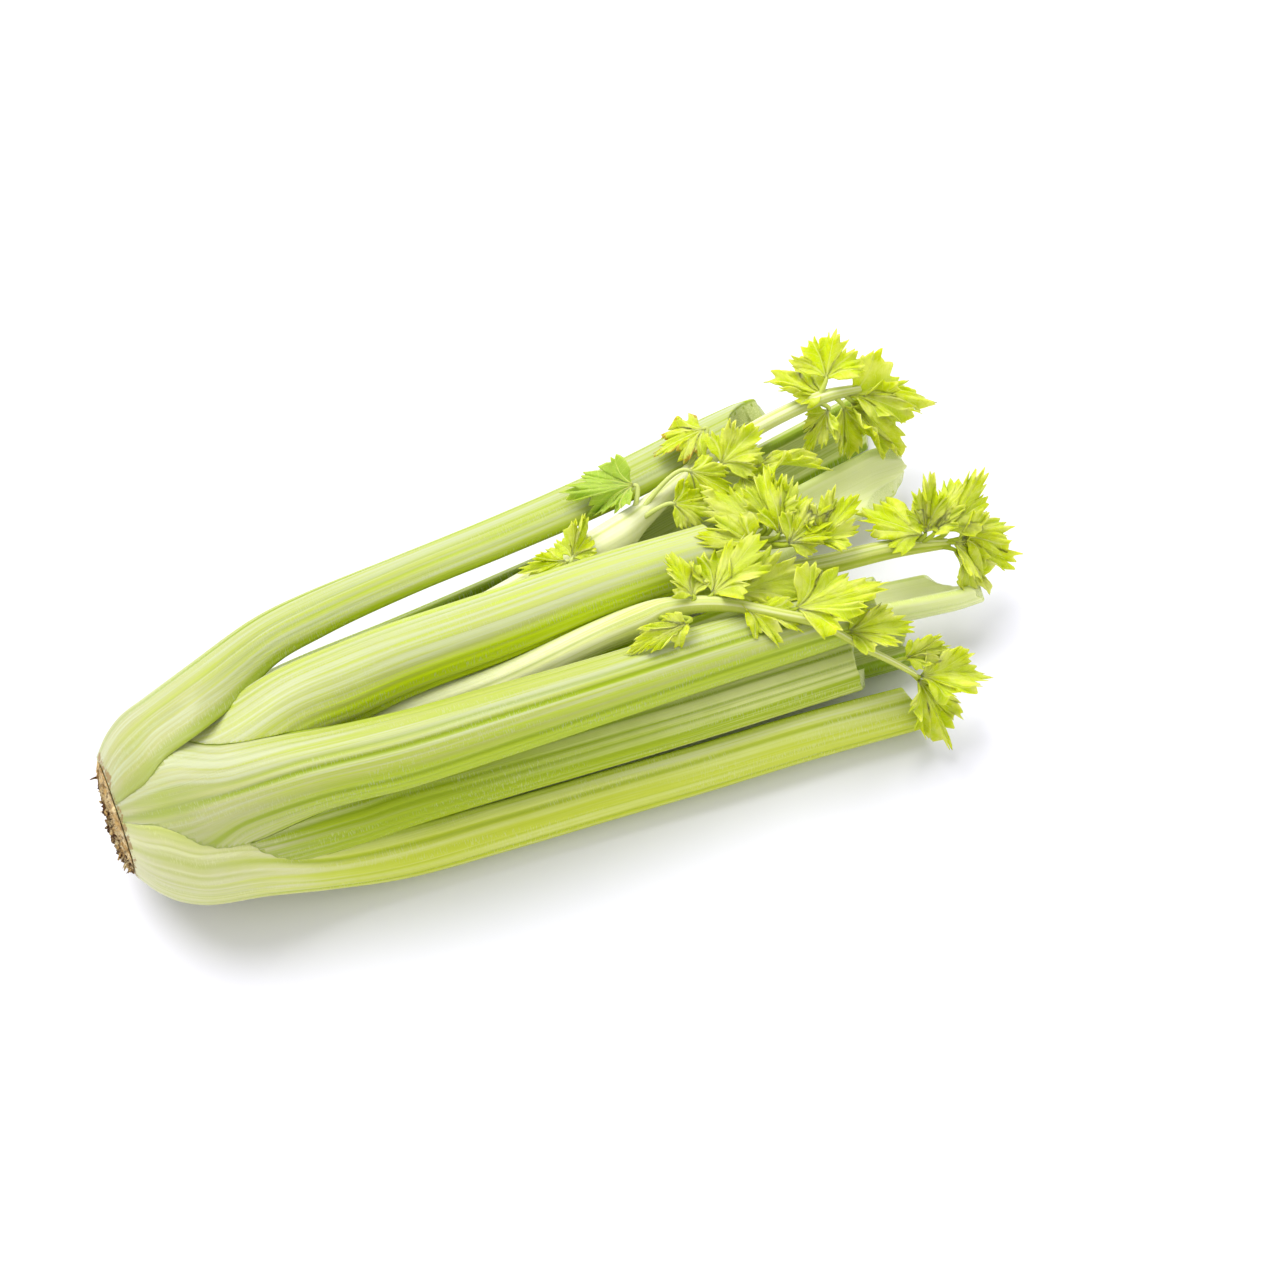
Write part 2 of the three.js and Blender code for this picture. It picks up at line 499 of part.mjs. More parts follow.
const PIECES = [
  { name: "root_crown", color: CROWN.color, roughness: 0.9, make: rootCrown },
  ...STALKS.map((stalk) => ({
    name: stalk.name,
    color: stalk.color,
    roughness: 0.4,
    make: (grow) => {
      const ribs = stalk.hidden ? HIDDEN_STALK_RIBS : STALK_RIBS;
      return petiole(stalkKeys(stalk), STALK_STATIONS, ribs, stalk.cut, grow);
    },
  })),
  ...STEMS.map((stem) => ({
    name: stem.name,
    color: stem.color,
    roughness: 0.5,
    make: (grow) => leafyStem(stem, grow),
  })),
];

function largestBody(solid) {
  return solid.decompose().reduce((best, body) => (body.volume() > best.volume() ? body : best));
}

function meshOf(piece, solid) {
  const mesh = solid.getMesh();
  const geometry = new THREE.BufferGeometry();
  geometry.setAttribute("position", new THREE.BufferAttribute(new Float32Array(mesh.vertProperties), 3));
  geometry.setIndex(new THREE.BufferAttribute(new Uint32Array(mesh.triVerts), 1));
  geometry.computeVertexNormals();
  const { color, roughness } = piece;
  const material = new THREE.MeshStandardMaterial({ color, roughness, metalness: 0 });
  const made = new THREE.Mesh(geometry, material);
  made.name = piece.name;
  return made;
}

const head = new THREE.Group();
head.name = "head_of_celery";
const cutters = [];
for (const piece of PIECES) {
  let solid = piece.make(0).subtract(floor);
  for (const cutter of cutters)
    if (solid.intersect(cutter).volume() > 0) solid = solid.subtract(cutter);
  solid = largestBody(solid);
  cutters.push(piece.make(GAP));
  head.add(meshOf(piece, solid));
}

export default head;
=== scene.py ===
"""A trimmed head of celery that lies on its side: root crown, sheathing stalks and leafy heart stems.

Sizes in the tables are millimetres and degrees, and the meshes are metres in the frame of the solids:
+X runs from the root end to the leaf tips, +Z is up and -Y is the near side. Angles round the head are
counted from +Y (far side) towards +Z (up).
"""

import logging
import math
from collections.abc import Sequence
from dataclasses import dataclass
from enum import Enum
from functools import reduce

import bmesh
import bpy
import numpy as np
from mathutils import Matrix, Vector


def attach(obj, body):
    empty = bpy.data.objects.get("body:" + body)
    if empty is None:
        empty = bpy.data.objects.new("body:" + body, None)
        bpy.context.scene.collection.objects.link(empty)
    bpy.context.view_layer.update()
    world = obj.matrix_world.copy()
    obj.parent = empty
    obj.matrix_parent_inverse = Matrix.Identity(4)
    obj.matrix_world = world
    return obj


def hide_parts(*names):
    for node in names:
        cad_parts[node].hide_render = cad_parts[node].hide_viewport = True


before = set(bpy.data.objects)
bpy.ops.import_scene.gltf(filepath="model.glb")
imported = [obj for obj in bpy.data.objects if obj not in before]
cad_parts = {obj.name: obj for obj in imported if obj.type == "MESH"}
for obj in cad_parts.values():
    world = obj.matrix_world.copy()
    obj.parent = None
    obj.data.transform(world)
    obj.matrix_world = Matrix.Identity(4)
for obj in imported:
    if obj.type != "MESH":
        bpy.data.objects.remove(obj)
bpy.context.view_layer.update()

Array = np.ndarray
Colour = tuple[float, float, float, float]
Socket = bpy.types.NodeSocket
Keys = tuple[tuple[float, ...], ...]

log = logging.getLogger("celery")

MM = 0.001
BODY = "root"

# ---- The butt, as in the solids ----
ROOT_X = -60.0
AXIS_Z = 40.0
BELLY_SHIFT = -2.5
PLATE_RADIUS = 22.5
BELLY_RADIUS = 42.0
SWELL_LENGTH = 12.0
LAYER_INSET = 5.5
SHEATH_THICKNESS = 6.5
SHEATH_EDGE = 0.9
STALK_EDGE = 4.2
STALK_SPAN = 100.0
NECK_SPAN = 88.0
WALL_SHARE = 0.7
WALL_ROUNDING = 2.2
LEAST_GROOVE = 0.15
PETIOLE_WALL = 0.78
RACHIS_WALL = 0.92
STEM_EDGE = 0.75
# [distance from the root crown, share of the butt's radius, how far the span has come along the wrap]
SHEATH_STATIONS = ((0, 1, 0), (5, 1, 0.25), (12, 1, 0.5), (22, 0.93, 1))
# Room that pieces keep: from leafy stems and the root crown, and between stalks
GAP = 0.3
SEAM = 0.12
LEAST_HEIGHT = 0.05
# X that the root crown and its rootlets stay behind
CROWN_TIP = -65.5
SHEATH_TUCK = 1.6
STALK_RIB_DEPTH = 0.7
STEM_RIBS = 9
STEM_RIB_DEPTH = 0.45
STEM_RIB_SHARE = 0.08
BAND_WIDTH = 20.0
SHARP_ANGLE = math.radians(42)
# Height from which leaves bend flat, and the height that they stay below
CEILING = (75.0, 80.6)
# The mask side carries painted shade on the flanks
STALK_MASKS = ("crest", "cut", "depth", "rim", "side", "band")


class Face(Enum):
    """The two skins of a stalk's wall."""

    OUTSIDE = "outside"
    GROOVE = "groove"


class Detail(Enum):
    """How finely a stalk is meshed: points outside, points in the groove, mm between sections."""

    SEEN = (121, 27, 2.0)
    TUCKED = (85, 19, 3.0)
    SLIM = (73, 13, 2.0)
    CUTTER = (49, 13, 5.0)


def toned(red: float, green: float, blue: float) -> Colour:
    """Turn a colour as it looks on a screen, from 0 to 255, into the linear colour of a shader."""
    linear = [((c / 255 + 0.055) / 1.055) ** 2.4 if c > 10 else c / 255 / 12.92 for c in (red, green, blue)]
    return (*linear, 1.0)


def eased(low: float, high: float, value: Array) -> Array:
    """Rise smoothly from 0, where the value is low, to 1, where it is high."""
    t = np.clip((value - low) / (high - low), 0.0, 1.0)
    return t * t * (3 - 2 * t)


class Track:
    """Values that run smoothly along X through given keys, whose first column is X."""

    def __init__(self, keys: Sequence[Sequence[float]]) -> None:
        """Keep the keys and work out the slope at each of them."""
        self.keys = np.array(keys, dtype=float)
        rows = np.arange(len(self.keys))
        before = self.keys[np.maximum(rows - 1, 0)]
        after = self.keys[np.minimum(rows + 1, len(self.keys) - 1)]
        self.slopes = (after - before) / (after[:, :1] - before[:, :1])

    def at(self, x: Array) -> Array:
        """Find the values at some places.

        Args:
            x: Places along X, in any shape.

        Returns:
            The values, with the columns as a last axis.
        """
        stops = self.keys[:, 0]
        place = np.clip(x, stops[0], stops[-1])
        row = np.clip(np.searchsorted(stops, place) - 1, 0, len(stops) - 2)
        step = (stops[row + 1] - stops[row])[..., None]
        t = (place - stops[row])[..., None] / step
        s = 1 - t
        return (
            (1 + 2 * t) * s * s * self.keys[row]
            + t * s * s * step * self.slopes[row]
            + t * t * (3 - 2 * t) * self.keys[row + 1]
            - t * t * s * step * self.slopes[row + 1]
        )


def linked(name: str, data: bpy.types.ID) -> bpy.types.Object:
    """Make an object of a mesh, a lamp or a camera, and add it to the scene.

    Args:
        name: Name of the object.
        data: What it shows.

    Returns:
        The object.
    """
    made = bpy.data.objects.new(name, data)
    bpy.context.scene.collection.objects.link(made)
    return made


@dataclass
class Surface:
    """Points, faces and what the materials read at each point, before it becomes a mesh."""

    points: Array
    faces: list[tuple[int, ...]]
    lay: Array
    masks: dict[str, Array]

    def outward(self) -> "Surface":
        """Turn every face round if the closed surface encloses a negative volume.

        Returns:
            The same surface.
        """
        volume = 0.0
        for size in (3, 4):
            rows = np.array([f for f in self.faces if len(f) == size], dtype=int)
            for k in range(1, size - 1):
                if len(rows):
                    a, b, c = (self.points[rows[:, i]] for i in (0, k, k + 1))
                    volume += float(np.einsum("ij,ij->", a, np.cross(b, c)))
        if volume < 0:
            self.faces = [tuple(reversed(face)) for face in self.faces]
        return self

    @staticmethod
    def joined(parts: Sequence["Surface"]) -> "Surface":
        """Put several surfaces into one.

        Args:
            parts: Surfaces that have the same masks.

        Returns:
            The surface that holds them all.
        """
        starts = np.cumsum([0] + [len(part.points) for part in parts]).tolist()
        names = parts[0].masks
        faces = []
        for part, first in zip(parts, starts):
            faces += [tuple(i + first for i in face) for face in part.faces]
        return Surface(
            points=np.concatenate([part.points for part in parts]),
            faces=faces,
            lay=np.concatenate([part.lay for part in parts]),
            masks={name: np.concatenate([part.masks[name] for part in parts]) for name in names},
        )

    def to_object(self, name: str) -> bpy.types.Object:
        """Make the surface an object of the scene.

        Args:
            name: Name of the object and of its mesh.

        Returns:
            The object, in metres.
        """
        mesh = bpy.data.meshes.new(name)
        mesh.from_pydata((self.points * MM).tolist(), [], self.faces)
        mesh.validate()
        corners = np.empty(len(mesh.loops), dtype=np.int32)
        mesh.loops.foreach_get("vertex_index", corners)
        layer = mesh.uv_layers.new(name="lay")
        layer.uv.foreach_set("vector", self.lay[corners].astype(np.float32).ravel())
        for mask, values in self.masks.items():
            attribute = mesh.attributes.new(mask, "FLOAT", "POINT")
            attribute.data.foreach_set("value", values.astype(np.float32))
        mesh.shade_smooth()
        return linked(name, mesh)


def between_arcs(outside: int, count: int) -> list[tuple[int, int, int]]:
    """Fill a section between its outer and its inner arc.

    Args:
        outside: Points on the outer arc, which come first in the ring.
        count: Points in the ring.

    Returns:
        Triangles as indexes into the ring.
    """
    inside = count - outside
    found = []
    i = j = 0
    while i < outside - 1 or j < inside - 1:
        outer_next = (i + 1) / (outside - 1)
        inner_next = (j + 1) / (inside - 1)
        if j == inside - 1 or (i < outside - 1 and outer_next <= inner_next):
            found.append((i, i + 1, count - 1 - j))
            i += 1
        else:
            found.append((i, count - 2 - j, count - 1 - j))
            j += 1
    return found


def skinned(rings: int, count: int) -> list[tuple[int, ...]]:
    """Join rings of points, each to the next, with four-sided faces.

    Args:
        rings: Number of rings.
        count: Points in each.

    Returns:
        The faces, as indexes into the rings laid end to end.
    """
    k, i = np.meshgrid(np.arange(rings - 1), np.arange(count), indexing="ij")
    a = k * count + i
    b = k * count + (i + 1) % count
    return list(map(tuple, np.stack([a, b, b + count, a + count], -1).reshape(-1, 4).tolist()))


def closed_tube(rings: Sequence[Array], first: Array, last: Array) -> tuple[Array, list[tuple[int, ...]]]:
    """Skin rings of points, and close each end with a fan of triangles.

    Args:
        rings: The rings, all with the same number of points.
        first: Middle of the fan at the first ring.
        last: Middle of the fan at the last ring.

    Returns:
        The points, with the two middles last, and the faces.
    """
    sides = len(rings[0])
    points = np.concatenate([*rings, [first, last]])
    start, end = len(points) - 2, len(points) - 1
    final = start - sides
    faces = skinned(len(rings), sides)
    faces += [(start, (i + 1) % sides, i) for i in range(sides)]
    faces += [(end, final + i, final + (i + 1) % sides) for i in range(sides)]
    return points, faces


@dataclass
class Petiole:
    """A grooved stalk: a ribbed wall swept along X through sections in the planes of X.

    cut is the slant of its end, sideways and outward, as shares of the radius. ragged is how far the end's
    edge waves, tuck how far the sheath's edges sink into the butt, and rib_share limits the ribs' depth.
    """

    track: Track
    ribs: int
    rib_depth: float
    detail: Detail
    cut: tuple[float, float]
    seed: int
    ragged: float = 0.0
    tuck: float = 0.0
    rib_share: float = 0.05

    LEAST_SECTIONS = 8
    CUT_SEED = 50
    # How far the groove reaches towards the edges of the wall
    GROOVE_EDGE = 0.97
    # Length over which the sections turn into the slanted cut
    SLANT_LENGTH = 34.0
    # Distances from the end of the rings that round the cut's rim, and how far each is drawn in
    ROUND_OVER = (0.0, 0.12, 0.4, 0.9)
    ROUND_INSET = (0.75, 0.35, 0.1)
    # Degrees round from the far side between which painted shade turns the flanks greener: towards the near
    # side and underneath, and towards the far side
    NEAR_SHADE_FLANK = (112.0, 168.0)
    FAR_SHADE_FLANK = (-20.0, 60.0)
    # Distances from the edge between which the rim's dry marks fade
    RIM_WIDTH = (0.3, 5.0)

    def relief(self, x: Array, share: Array, arc: Array, radius: Array) -> tuple[Array, Array]:
        """Work out how deep the skin lies below the rib crests.

        Args:
            x: Places along the stalk.
            share: Places across its outside, from -1 to 1.
            arc: Half of the outside's width there.
            radius: Radius there.

        Returns:
            The depth, and how near each place is to a crest, from 0 to 1.
        """
        drawn = np.random.default_rng(self.seed)
        steps = drawn.uniform(0.5, 1.7, self.ribs)
        creases = 2 * (np.cumsum(steps) - steps / 2) / steps.sum() - 1
        strength = 0.12 + 0.88 * drawn.uniform(0, 1, self.ribs) ** 1.7
        broad = drawn.uniform(0.35, 0.75, self.ribs) / self.ribs
        finer = eased(4.0, 6.5, 2 * arc / self.ribs)
        sunk = np.zeros_like(share)
        for place, strong, width, step in zip(creases, strength, broad, steps):
            sunk = sunk + strong * np.exp(-(((share - place) / width) ** 2))
            for aside in (-0.33, 0.33):
                line = place + aside * 2 * step / steps.sum()
                narrow = np.exp(-(((share - line) / (0.5 * width)) ** 2))
                sunk = sunk + (0.3 + 0.35 * (1 - strong)) * finer * narrow
        sunk = np.minimum(sunk, 1.0)
        depth = np.minimum(self.rib_depth, radius * self.rib_share)
        depth = depth * (0.45 + 0.55 * eased(-45, 15, x)) * (1 - 0.25 * eased(60, 180, x))
        fade = 1 - np.abs(share) ** 10
        return depth * sunk * fade, (1 - sunk) * fade

    def skin(self, x: Array, share: Array, face: Face, grow: float) -> tuple[Array, Array, Array]:
        """Place points on one of the stalk's two skins.

        Args:
            x: Places along the stalk.
            share: Places across it, from -1 to 1, in the same shape.
            face: Which skin.
            grow: How far the skin stands outside the real one.

        Returns:
            The points, where they lie as arc and length, and how near each is to a rib's crest.
        """
        _, y, z, radius, span, wall, edge, angle = np.moveaxis(self.track.at(x), -1, 0)
        half = np.radians(span) + grow / radius
        arc = half * radius
        to_edge = np.clip(1 - 2 * (1 - np.abs(share)) * arc / edge, 0, 1)
        rounding = edge / 2 * (1 - np.sqrt(1 - to_edge**2))
        sunk = self.tuck * (1 - eased(-40, -12, x)) * eased(ROOT_X, ROOT_X + 14, x) * np.abs(share) ** 4
        crest = np.zeros_like(share)
        if face is Face.OUTSIDE:
            depth, crest = self.relief(x, share, arc, radius)
            reach = radius + grow - rounding - (depth if grow == 0 else 0)
        else:
            thickness = edge + (wall - edge) * (1 - np.abs(share) ** WALL_ROUNDING)
            reach = np.maximum(radius - thickness - grow + rounding, LEAST_GROOVE * radius)
        reach = reach - sunk
        theta = np.radians(angle) + half * share
        points = np.stack([x, y + reach * np.cos(theta), z + reach * np.sin(theta)], -1)
        return points, np.stack([share * arc, x], -1), crest

    def stations(self, step: float) -> Array:
        """List the sections' places along X, before the cut end is slanted.

        Args:
            step: Distance between them, in mm.

        Returns:
            The places, close together at the end, where the rim is rounded.
        """
        start, end = self.track.keys[0, 0], self.track.keys[-1, 0]
        count = max(round((end - start) / step), self.LEAST_SECTIONS)
        close = end - np.array(self.ROUND_OVER[-2::-1])
        return np.append(np.linspace(start, end - self.ROUND_OVER[-1], count + 1), close)

    def slanted(self, x: Array, shares: Array) -> Array:
        """Slant the sections towards the cut end, and make its edge ragged.

        Args:
            x: The sections' places along the stalk.
            shares: Places round a section, from -1 to 1.

        Returns:
            X of each point, with a row for each section.
        """
        end = self.track.keys[-1, 0]
        _, _, _, radius, span, _, _, _ = self.track.at(np.array([end]))[0]
        theta = np.radians(span) * shares
        lean = self.cut[0] * radius * np.sin(theta) + self.cut[1] * radius * np.cos(theta)
        a, b = np.random.default_rng(self.seed + self.CUT_SEED).uniform(0, 2 * np.pi, 2)
        lean = lean + self.ragged * (np.sin(7 * shares + a) + 0.6 * np.sin(17 * shares + b))
        slant = eased(end - self.SLANT_LENGTH, end, x)[:, None]
        return x[:, None] + slant * lean[None, :]

    def round_rim(self, front: Array, back: Array) -> None:
        """Draw the last sections in, which rounds the rim of the cut.

        Args:
            front: Points of the outer skin, with a row for each section, which are moved.
            back: Points of the groove, which are moved with them.
        """
        for k, inset in enumerate(self.ROUND_INSET, start=1):
            middle = (front[-k].mean(0) + back[-k].mean(0)) / 2
            for row in (front[-k], back[-k]):
                away = row - middle
                away[:, 0] = 0
                row -= away / np.linalg.norm(away, axis=1)[:, None] * inset

    def masks(self, places: Array, across: Array, crest: Array) -> dict[str, Array]:
        """Work out what the finish reads at each point.

        Args:
            places: X of each point, with a row for each section.
            across: Its place across the stalk, from -1 to 1.
            crest: How near the outer points are to a rib's crest.

        Returns:
            The masks by name.
        """
        flat = np.zeros(places.shape)
        groove = flat.copy()
        groove[:, crest.shape[1]:] = 1
        cut = flat.copy()
        cut[-1] = 1
        _, _, _, radii, spans, _, _, angles = np.moveaxis(self.track.at(places), -1, 0)
        facing = (angles + spans * across + 90) % 360 - 90
        # Painted shade: greener by the direction in the world that each point faces
        side = eased(*self.NEAR_SHADE_FLANK, facing) + 1 - eased(*self.FAR_SHADE_FLANK, facing)
        rim = 1 - eased(*self.RIM_WIDTH, (1 - np.abs(across)) * np.radians(spans) * radii)
        crests = np.concatenate([crest, flat[:, crest.shape[1]:]], 1)
        values = (crests, cut, groove, rim, side, BAND_WIDTH * across)
        return {name: value.ravel() for name, value in zip(STALK_MASKS, values)}

    def surface(self, grow: float = 0.0) -> Surface:
        """Build the closed wall.

        Args:
            grow: How far its skin stands outside the real one; a grown wall is plain and coarser.

        Returns:
            The surface, with all the masks of a stalk.
        """
        outside, inside, step = (self.detail if grow == 0 else Detail.CUTTER).value
        x = self.stations(step)
        edge = self.GROOVE_EDGE
        shares = np.concatenate([np.linspace(-1, 1, outside), np.linspace(edge, -edge, inside)])
        places = self.slanted(x, shares)
        if grow > 0:
            places[0] -= grow
            places[-1] += grow
        across = np.broadcast_to(shares, places.shape)
        front, lay_out, crest = self.skin(places[:, :outside], across[:, :outside], Face.OUTSIDE, grow)
        back, lay_in, _ = self.skin(places[:, outside:], across[:, outside:], Face.GROOVE, grow)
        if grow == 0:
            self.round_rim(front, back)
        points = np.concatenate([front, back], 1)
        points[..., 2] = np.maximum(points[..., 2], LEAST_HEIGHT)
        count = outside + inside
        top = (len(x) - 1) * count
        caps = between_arcs(outside, count)
        faces = skinned(len(x), count)
        faces += [(a, c, b) for a, b, c in caps] + [(top + a, top + b, top + c) for a, b, c in caps]
        lay = np.concatenate([lay_out, lay_in], 1).reshape(-1, 2)
        return Surface(points.reshape(-1, 3), faces, lay, self.masks(places, across, crest)).outward()

    def clear_of(self, points: Array, room: float) -> Array:
        """Move points that lie in the stalk's outer wall out of its skin.

        Args:
            points: Points, with X, Y and Z as a last axis.
            room: Distance that they keep from the skin.

        Returns:
            The moved points.
        """
        _, y, z, radius, span, wall, _, angle = np.moveaxis(self.track.at(points[..., 0]), -1, 0)
        dy, dz = points[..., 1] - y, points[..., 2] - z
        distance = np.hypot(dy, dz)
        turn = np.abs((np.arctan2(dz, dy) - np.radians(angle) + np.pi) % (2 * np.pi) - np.pi)
        start, end = self.track.keys[0, 0], self.track.keys[-1, 0]
        inside = (points[..., 0] > start) & (points[..., 0] < end + 2) & (turn < np.radians(span) + 0.1)
        inside &= (distance > radius - wall) & (distance < radius + room)
        push = np.where(inside, radius + room - distance, 0.0) / np.maximum(distance, 1e-6)
        moved = points.copy()
        moved[..., 1] += dy * push
        moved[..., 2] += dz * push
        return moved


# ---- Materials ----

# Object coordinates are metres, and the sizes that the groups take are mm
OBJECT_SCALE = 1000.0


class Graph:
    """Adds nodes and links to one node tree."""

    def __init__(self, tree: bpy.types.NodeTree) -> None:
        """Keep the tree that is added to."""
        self.tree = tree

    def node(self, kind: str, **settings: object) -> bpy.types.Node:
        """Add a node.

        Args:
            kind: Its type.
            **settings: Its own settings.

        Returns:
            The node.
        """
        made = self.tree.nodes.new(kind)
        for name, value in settings.items():
            setattr(made, name, value)
        return made

    def feed(self, target: Socket, value: object) -> None:
        """Link a socket to an input, or set the input to a plain value.

        Args:
            target: The input.
            value: The socket or the plain value.
        """
        if isinstance(value, bpy.types.NodeSocket):
            self.tree.links.new(value, target)
        else:
            target.default_value = value

    def placed(self, kind: str, inputs: dict[str, object], **settings: object) -> bpy.types.Node:
        """Add a node and feed its inputs.

        Args:
            kind: Its type.
            inputs: Sockets or plain values by the input's name.
            **settings: Its own settings.

        Returns:
            The node.
        """
        made = self.node(kind, **settings)
        for name, value in inputs.items():
            self.feed(made.inputs[name], value)
        return made

    def math(self, operation: str, *values: object, clamp: bool = False) -> Socket:
        """Add a Math node.

        Args:
            operation: The node's operation.
            *values: Its inputs, as sockets or numbers.
            clamp: Whether the result is kept between 0 and 1.

        Returns:
            Its result.
        """
        made = self.node("ShaderNodeMath", operation=operation, use_clamp=clamp)
        for target, value in zip(made.inputs, values):
            self.feed(target, value)
        return made.outputs[0]

    def plus(self, *values: object) -> Socket:
        """Add sockets or numbers to one another."""
        return reduce(lambda total, value: self.math("ADD", total, value), values)

    def minus(self, first: object, second: object) -> Socket:
        """Subtract the second value from the first."""
        return self.math("SUBTRACT", first, second)

    def times(self, *values: object) -> Socket:
        """Multiply sockets or numbers by one another."""
        return reduce(lambda product, value: self.math("MULTIPLY", product, value), values)

    def over(self, first: object, second: object) -> Socket:
        """Divide the first value by the second."""
        return self.math("DIVIDE", first, second)

    def ranged(
        self, value: object, low: object, high: object, at_low: float = 0.0, at_high: float = 1.0
    ) -> Socket:
        """Bring a value smoothly from the range low to high to the range at_low to at_high."""
        inputs = {"Value": value, "From Min": low, "From Max": high, "To Min": at_low, "To Max": at_high}
        return self.placed("ShaderNodeMapRange", inputs, interpolation_type="SMOOTHSTEP").outputs["Result"]

    def mixed(self, factor: object, first: object, second: object) -> Socket:
        """Mix two colours.

        Args:
            factor: Share of the second.
            first: Socket or colour.
            second: Socket or colour.

        Returns:
            The mixed colour.
        """
        made = self.node("ShaderNodeMix", data_type="RGBA")
        for target, value in ((0, factor), (6, first), (7, second)):
            self.feed(made.inputs[target], value)
        return made.outputs[2]

    def noise(self, vector: Socket, scale: object, detail: float = 2.0, roughness: float = 0.5) -> Socket:
        """Add a noise texture and return its value."""
        inputs = {"Vector": vector, "Scale": scale, "Detail": detail, "Roughness": roughness}
        return self.placed("ShaderNodeTexNoise", inputs).outputs["Fac"]

    def cells(self, vector: Socket, scale: float, dimensions: str, wall: float) -> Socket:
        """Add a pattern of cells.

        Args:
            vector: Where it is read.
            scale: Its scale.
            dimensions: "2D" or "3D".
            wall: How far the walls reach into the cells.

        Returns:
            1 on the walls between the cells and 0 within them.
        """
        inputs = {"Vector": vector, "Scale": scale}
        made = self.placed(
            "ShaderNodeTexVoronoi", inputs, feature="DISTANCE_TO_EDGE", voronoi_dimensions=dimensions
        )
        return self.ranged(made.outputs["Distance"], 0.0, wall, 1.0, 0.0)

    def vector(self, *values: object) -> Socket:
        """Combine two or three values into a vector."""
        return self.placed("ShaderNodeCombineXYZ", dict(zip("XYZ", values))).outputs[0]

    def spot(self) -> Socket:
        """Read a point's place on the object, in metres."""
        return self.node("ShaderNodeTexCoord").outputs["Object"]

    def mask(self, name: str) -> Socket:
        """Read one of the mesh's masks."""
        return self.node("ShaderNodeAttribute", attribute_name=name).outputs["Fac"]

    def lay(self) -> tuple[Socket, Socket]:
        """Read where a point lies on its piece: across it and along it, in mm."""
        places = self.node("ShaderNodeUVMap", uv_map="lay").outputs[0]
        return tuple(self.placed("ShaderNodeSeparateXYZ", {"Vector": places}).outputs[:2])

    def place(self, name: str, **values: object) -> bpy.types.Node:
        """Place a shared node group and feed its inputs, whose names have underscores for spaces."""
        inputs = {key.replace("_", " "): value for key, value in values.items()}
        return self.placed("ShaderNodeGroup", inputs, node_tree=bpy.data.node_groups[name])

    def bumped(self, height: Socket, strength: float, stands: float) -> Socket:
        """Turn a height into a normal, where stands is how high 1 stands, in mm."""
        inputs = {"Strength": strength, "Distance": stands * MM, "Height": height}
        return self.placed("ShaderNodeBump", inputs).outputs[0]


def new_group(
    name: str, values: Sequence[str], colours: Sequence[str], gives: dict[str, str]
) -> tuple[Graph, dict[str, Socket], bpy.types.Node]:
    """Start a shader node group.

    Args:
        name: Name of the group.
        values: Names of the inputs that are numbers.
        colours: Names of the inputs that are colours.
        gives: Its outputs' names and kinds.

    Returns:
        The graph inside it, its inputs by name, and the node that its results go to.
    """
    tree = bpy.data.node_groups.new(name, "ShaderNodeTree")
    takes = {**dict.fromkeys(values, "Float"), **dict.fromkeys(colours, "Color")}
    for sockets, way in ((takes, "INPUT"), (gives, "OUTPUT")):
        for label, kind in sockets.items():
            tree.interface.new_socket(name=label, in_out=way, socket_type="NodeSocket" + kind)
    graph = Graph(tree)
    source = graph.node("NodeGroupInput")
    target = graph.node("NodeGroupOutput")
    return graph, {label: source.outputs[label] for label in takes}, target


def make_fibre_group() -> None:
    """Build the group for the fine strands that run along a stalk, in colour and relief."""
    graph, given, out = new_group(
        "long_fibres", ("Across", "Along", "Width", "Length"), (), {"Strands": "Float"}
    )
    across = graph.over(given["Across"], given["Width"])
    along = graph.over(given["Along"], given["Length"])
    coarse = graph.noise(graph.vector(across, along, 3.0), 1.0, 3.0, 0.55)
    fine = graph.noise(graph.vector(graph.times(across, 3.1), along, 9.0), 1.0, 1.0)
    both = graph.plus(graph.times(coarse, 0.65), graph.times(fine, 0.35))
    graph.feed(out.inputs["Strands"], graph.ranged(both, 0.32, 0.68))


def make_stipple_group() -> None:
    """Build the group for the short pale dashes that lie across the ridges in rows."""
    graph, given, out = new_group(
        "cross_stipple", ("Across", "Along", "Dash", "Patch"), (), {"Dashes": "Float"}
    )
    along = graph.over(given["Along"], given["Dash"])
    across = graph.over(given["Across"], graph.times(given["Dash"], 4.5))
    dashes = graph.ranged(graph.noise(graph.vector(across, along, 1.0), 1.0, 2.0, 0.6), 0.5, 0.66)
    wide = graph.over(given["Across"], given["Patch"])
    long = graph.over(given["Along"], graph.times(given["Patch"], 9.0))
    patch = graph.ranged(graph.noise(graph.vector(wide, long, 5.0), 1.0, 1.0), 0.44, 0.62)
    graph.feed(out.inputs["Dashes"], graph.times(dashes, patch))


def make_tone_group() -> None:
    """Build the group for the change from the blanched root end to the green upper stalk."""
    graph, given, out = new_group(
        "blanching", ("Along", "Drift", "Root end", "Body start", "Tip end"), ("Root", "Body", "Tip"),
        {"Color": "Color"},
    )
    place = graph.plus(given["Along"], given["Drift"])
    body_share = graph.ranged(place, given["Root end"], given["Body start"])
    tip_share = graph.ranged(place, given["Body start"], given["Tip end"])
    lower = graph.mixed(body_share, given["Root"], given["Body"])
    graph.feed(out.inputs["Color"], graph.mixed(tip_share, lower, given["Tip"]))


def make_mottle_group() -> None:
    """Build the group for the soft cloudy change of tone over any surface."""
    graph, given, out = new_group("cloudy_tone", ("Size", "Amount"), ("Color", "Tint"), {"Color": "Color"})
    scale = graph.over(OBJECT_SCALE, given["Size"])
    value = graph.ranged(graph.noise(graph.spot(), scale, 3.0, 0.6), 0.35, 0.68)
    amount = graph.times(value, given["Amount"])
    graph.feed(out.inputs["Color"], graph.mixed(amount, given["Color"], given["Tint"]))


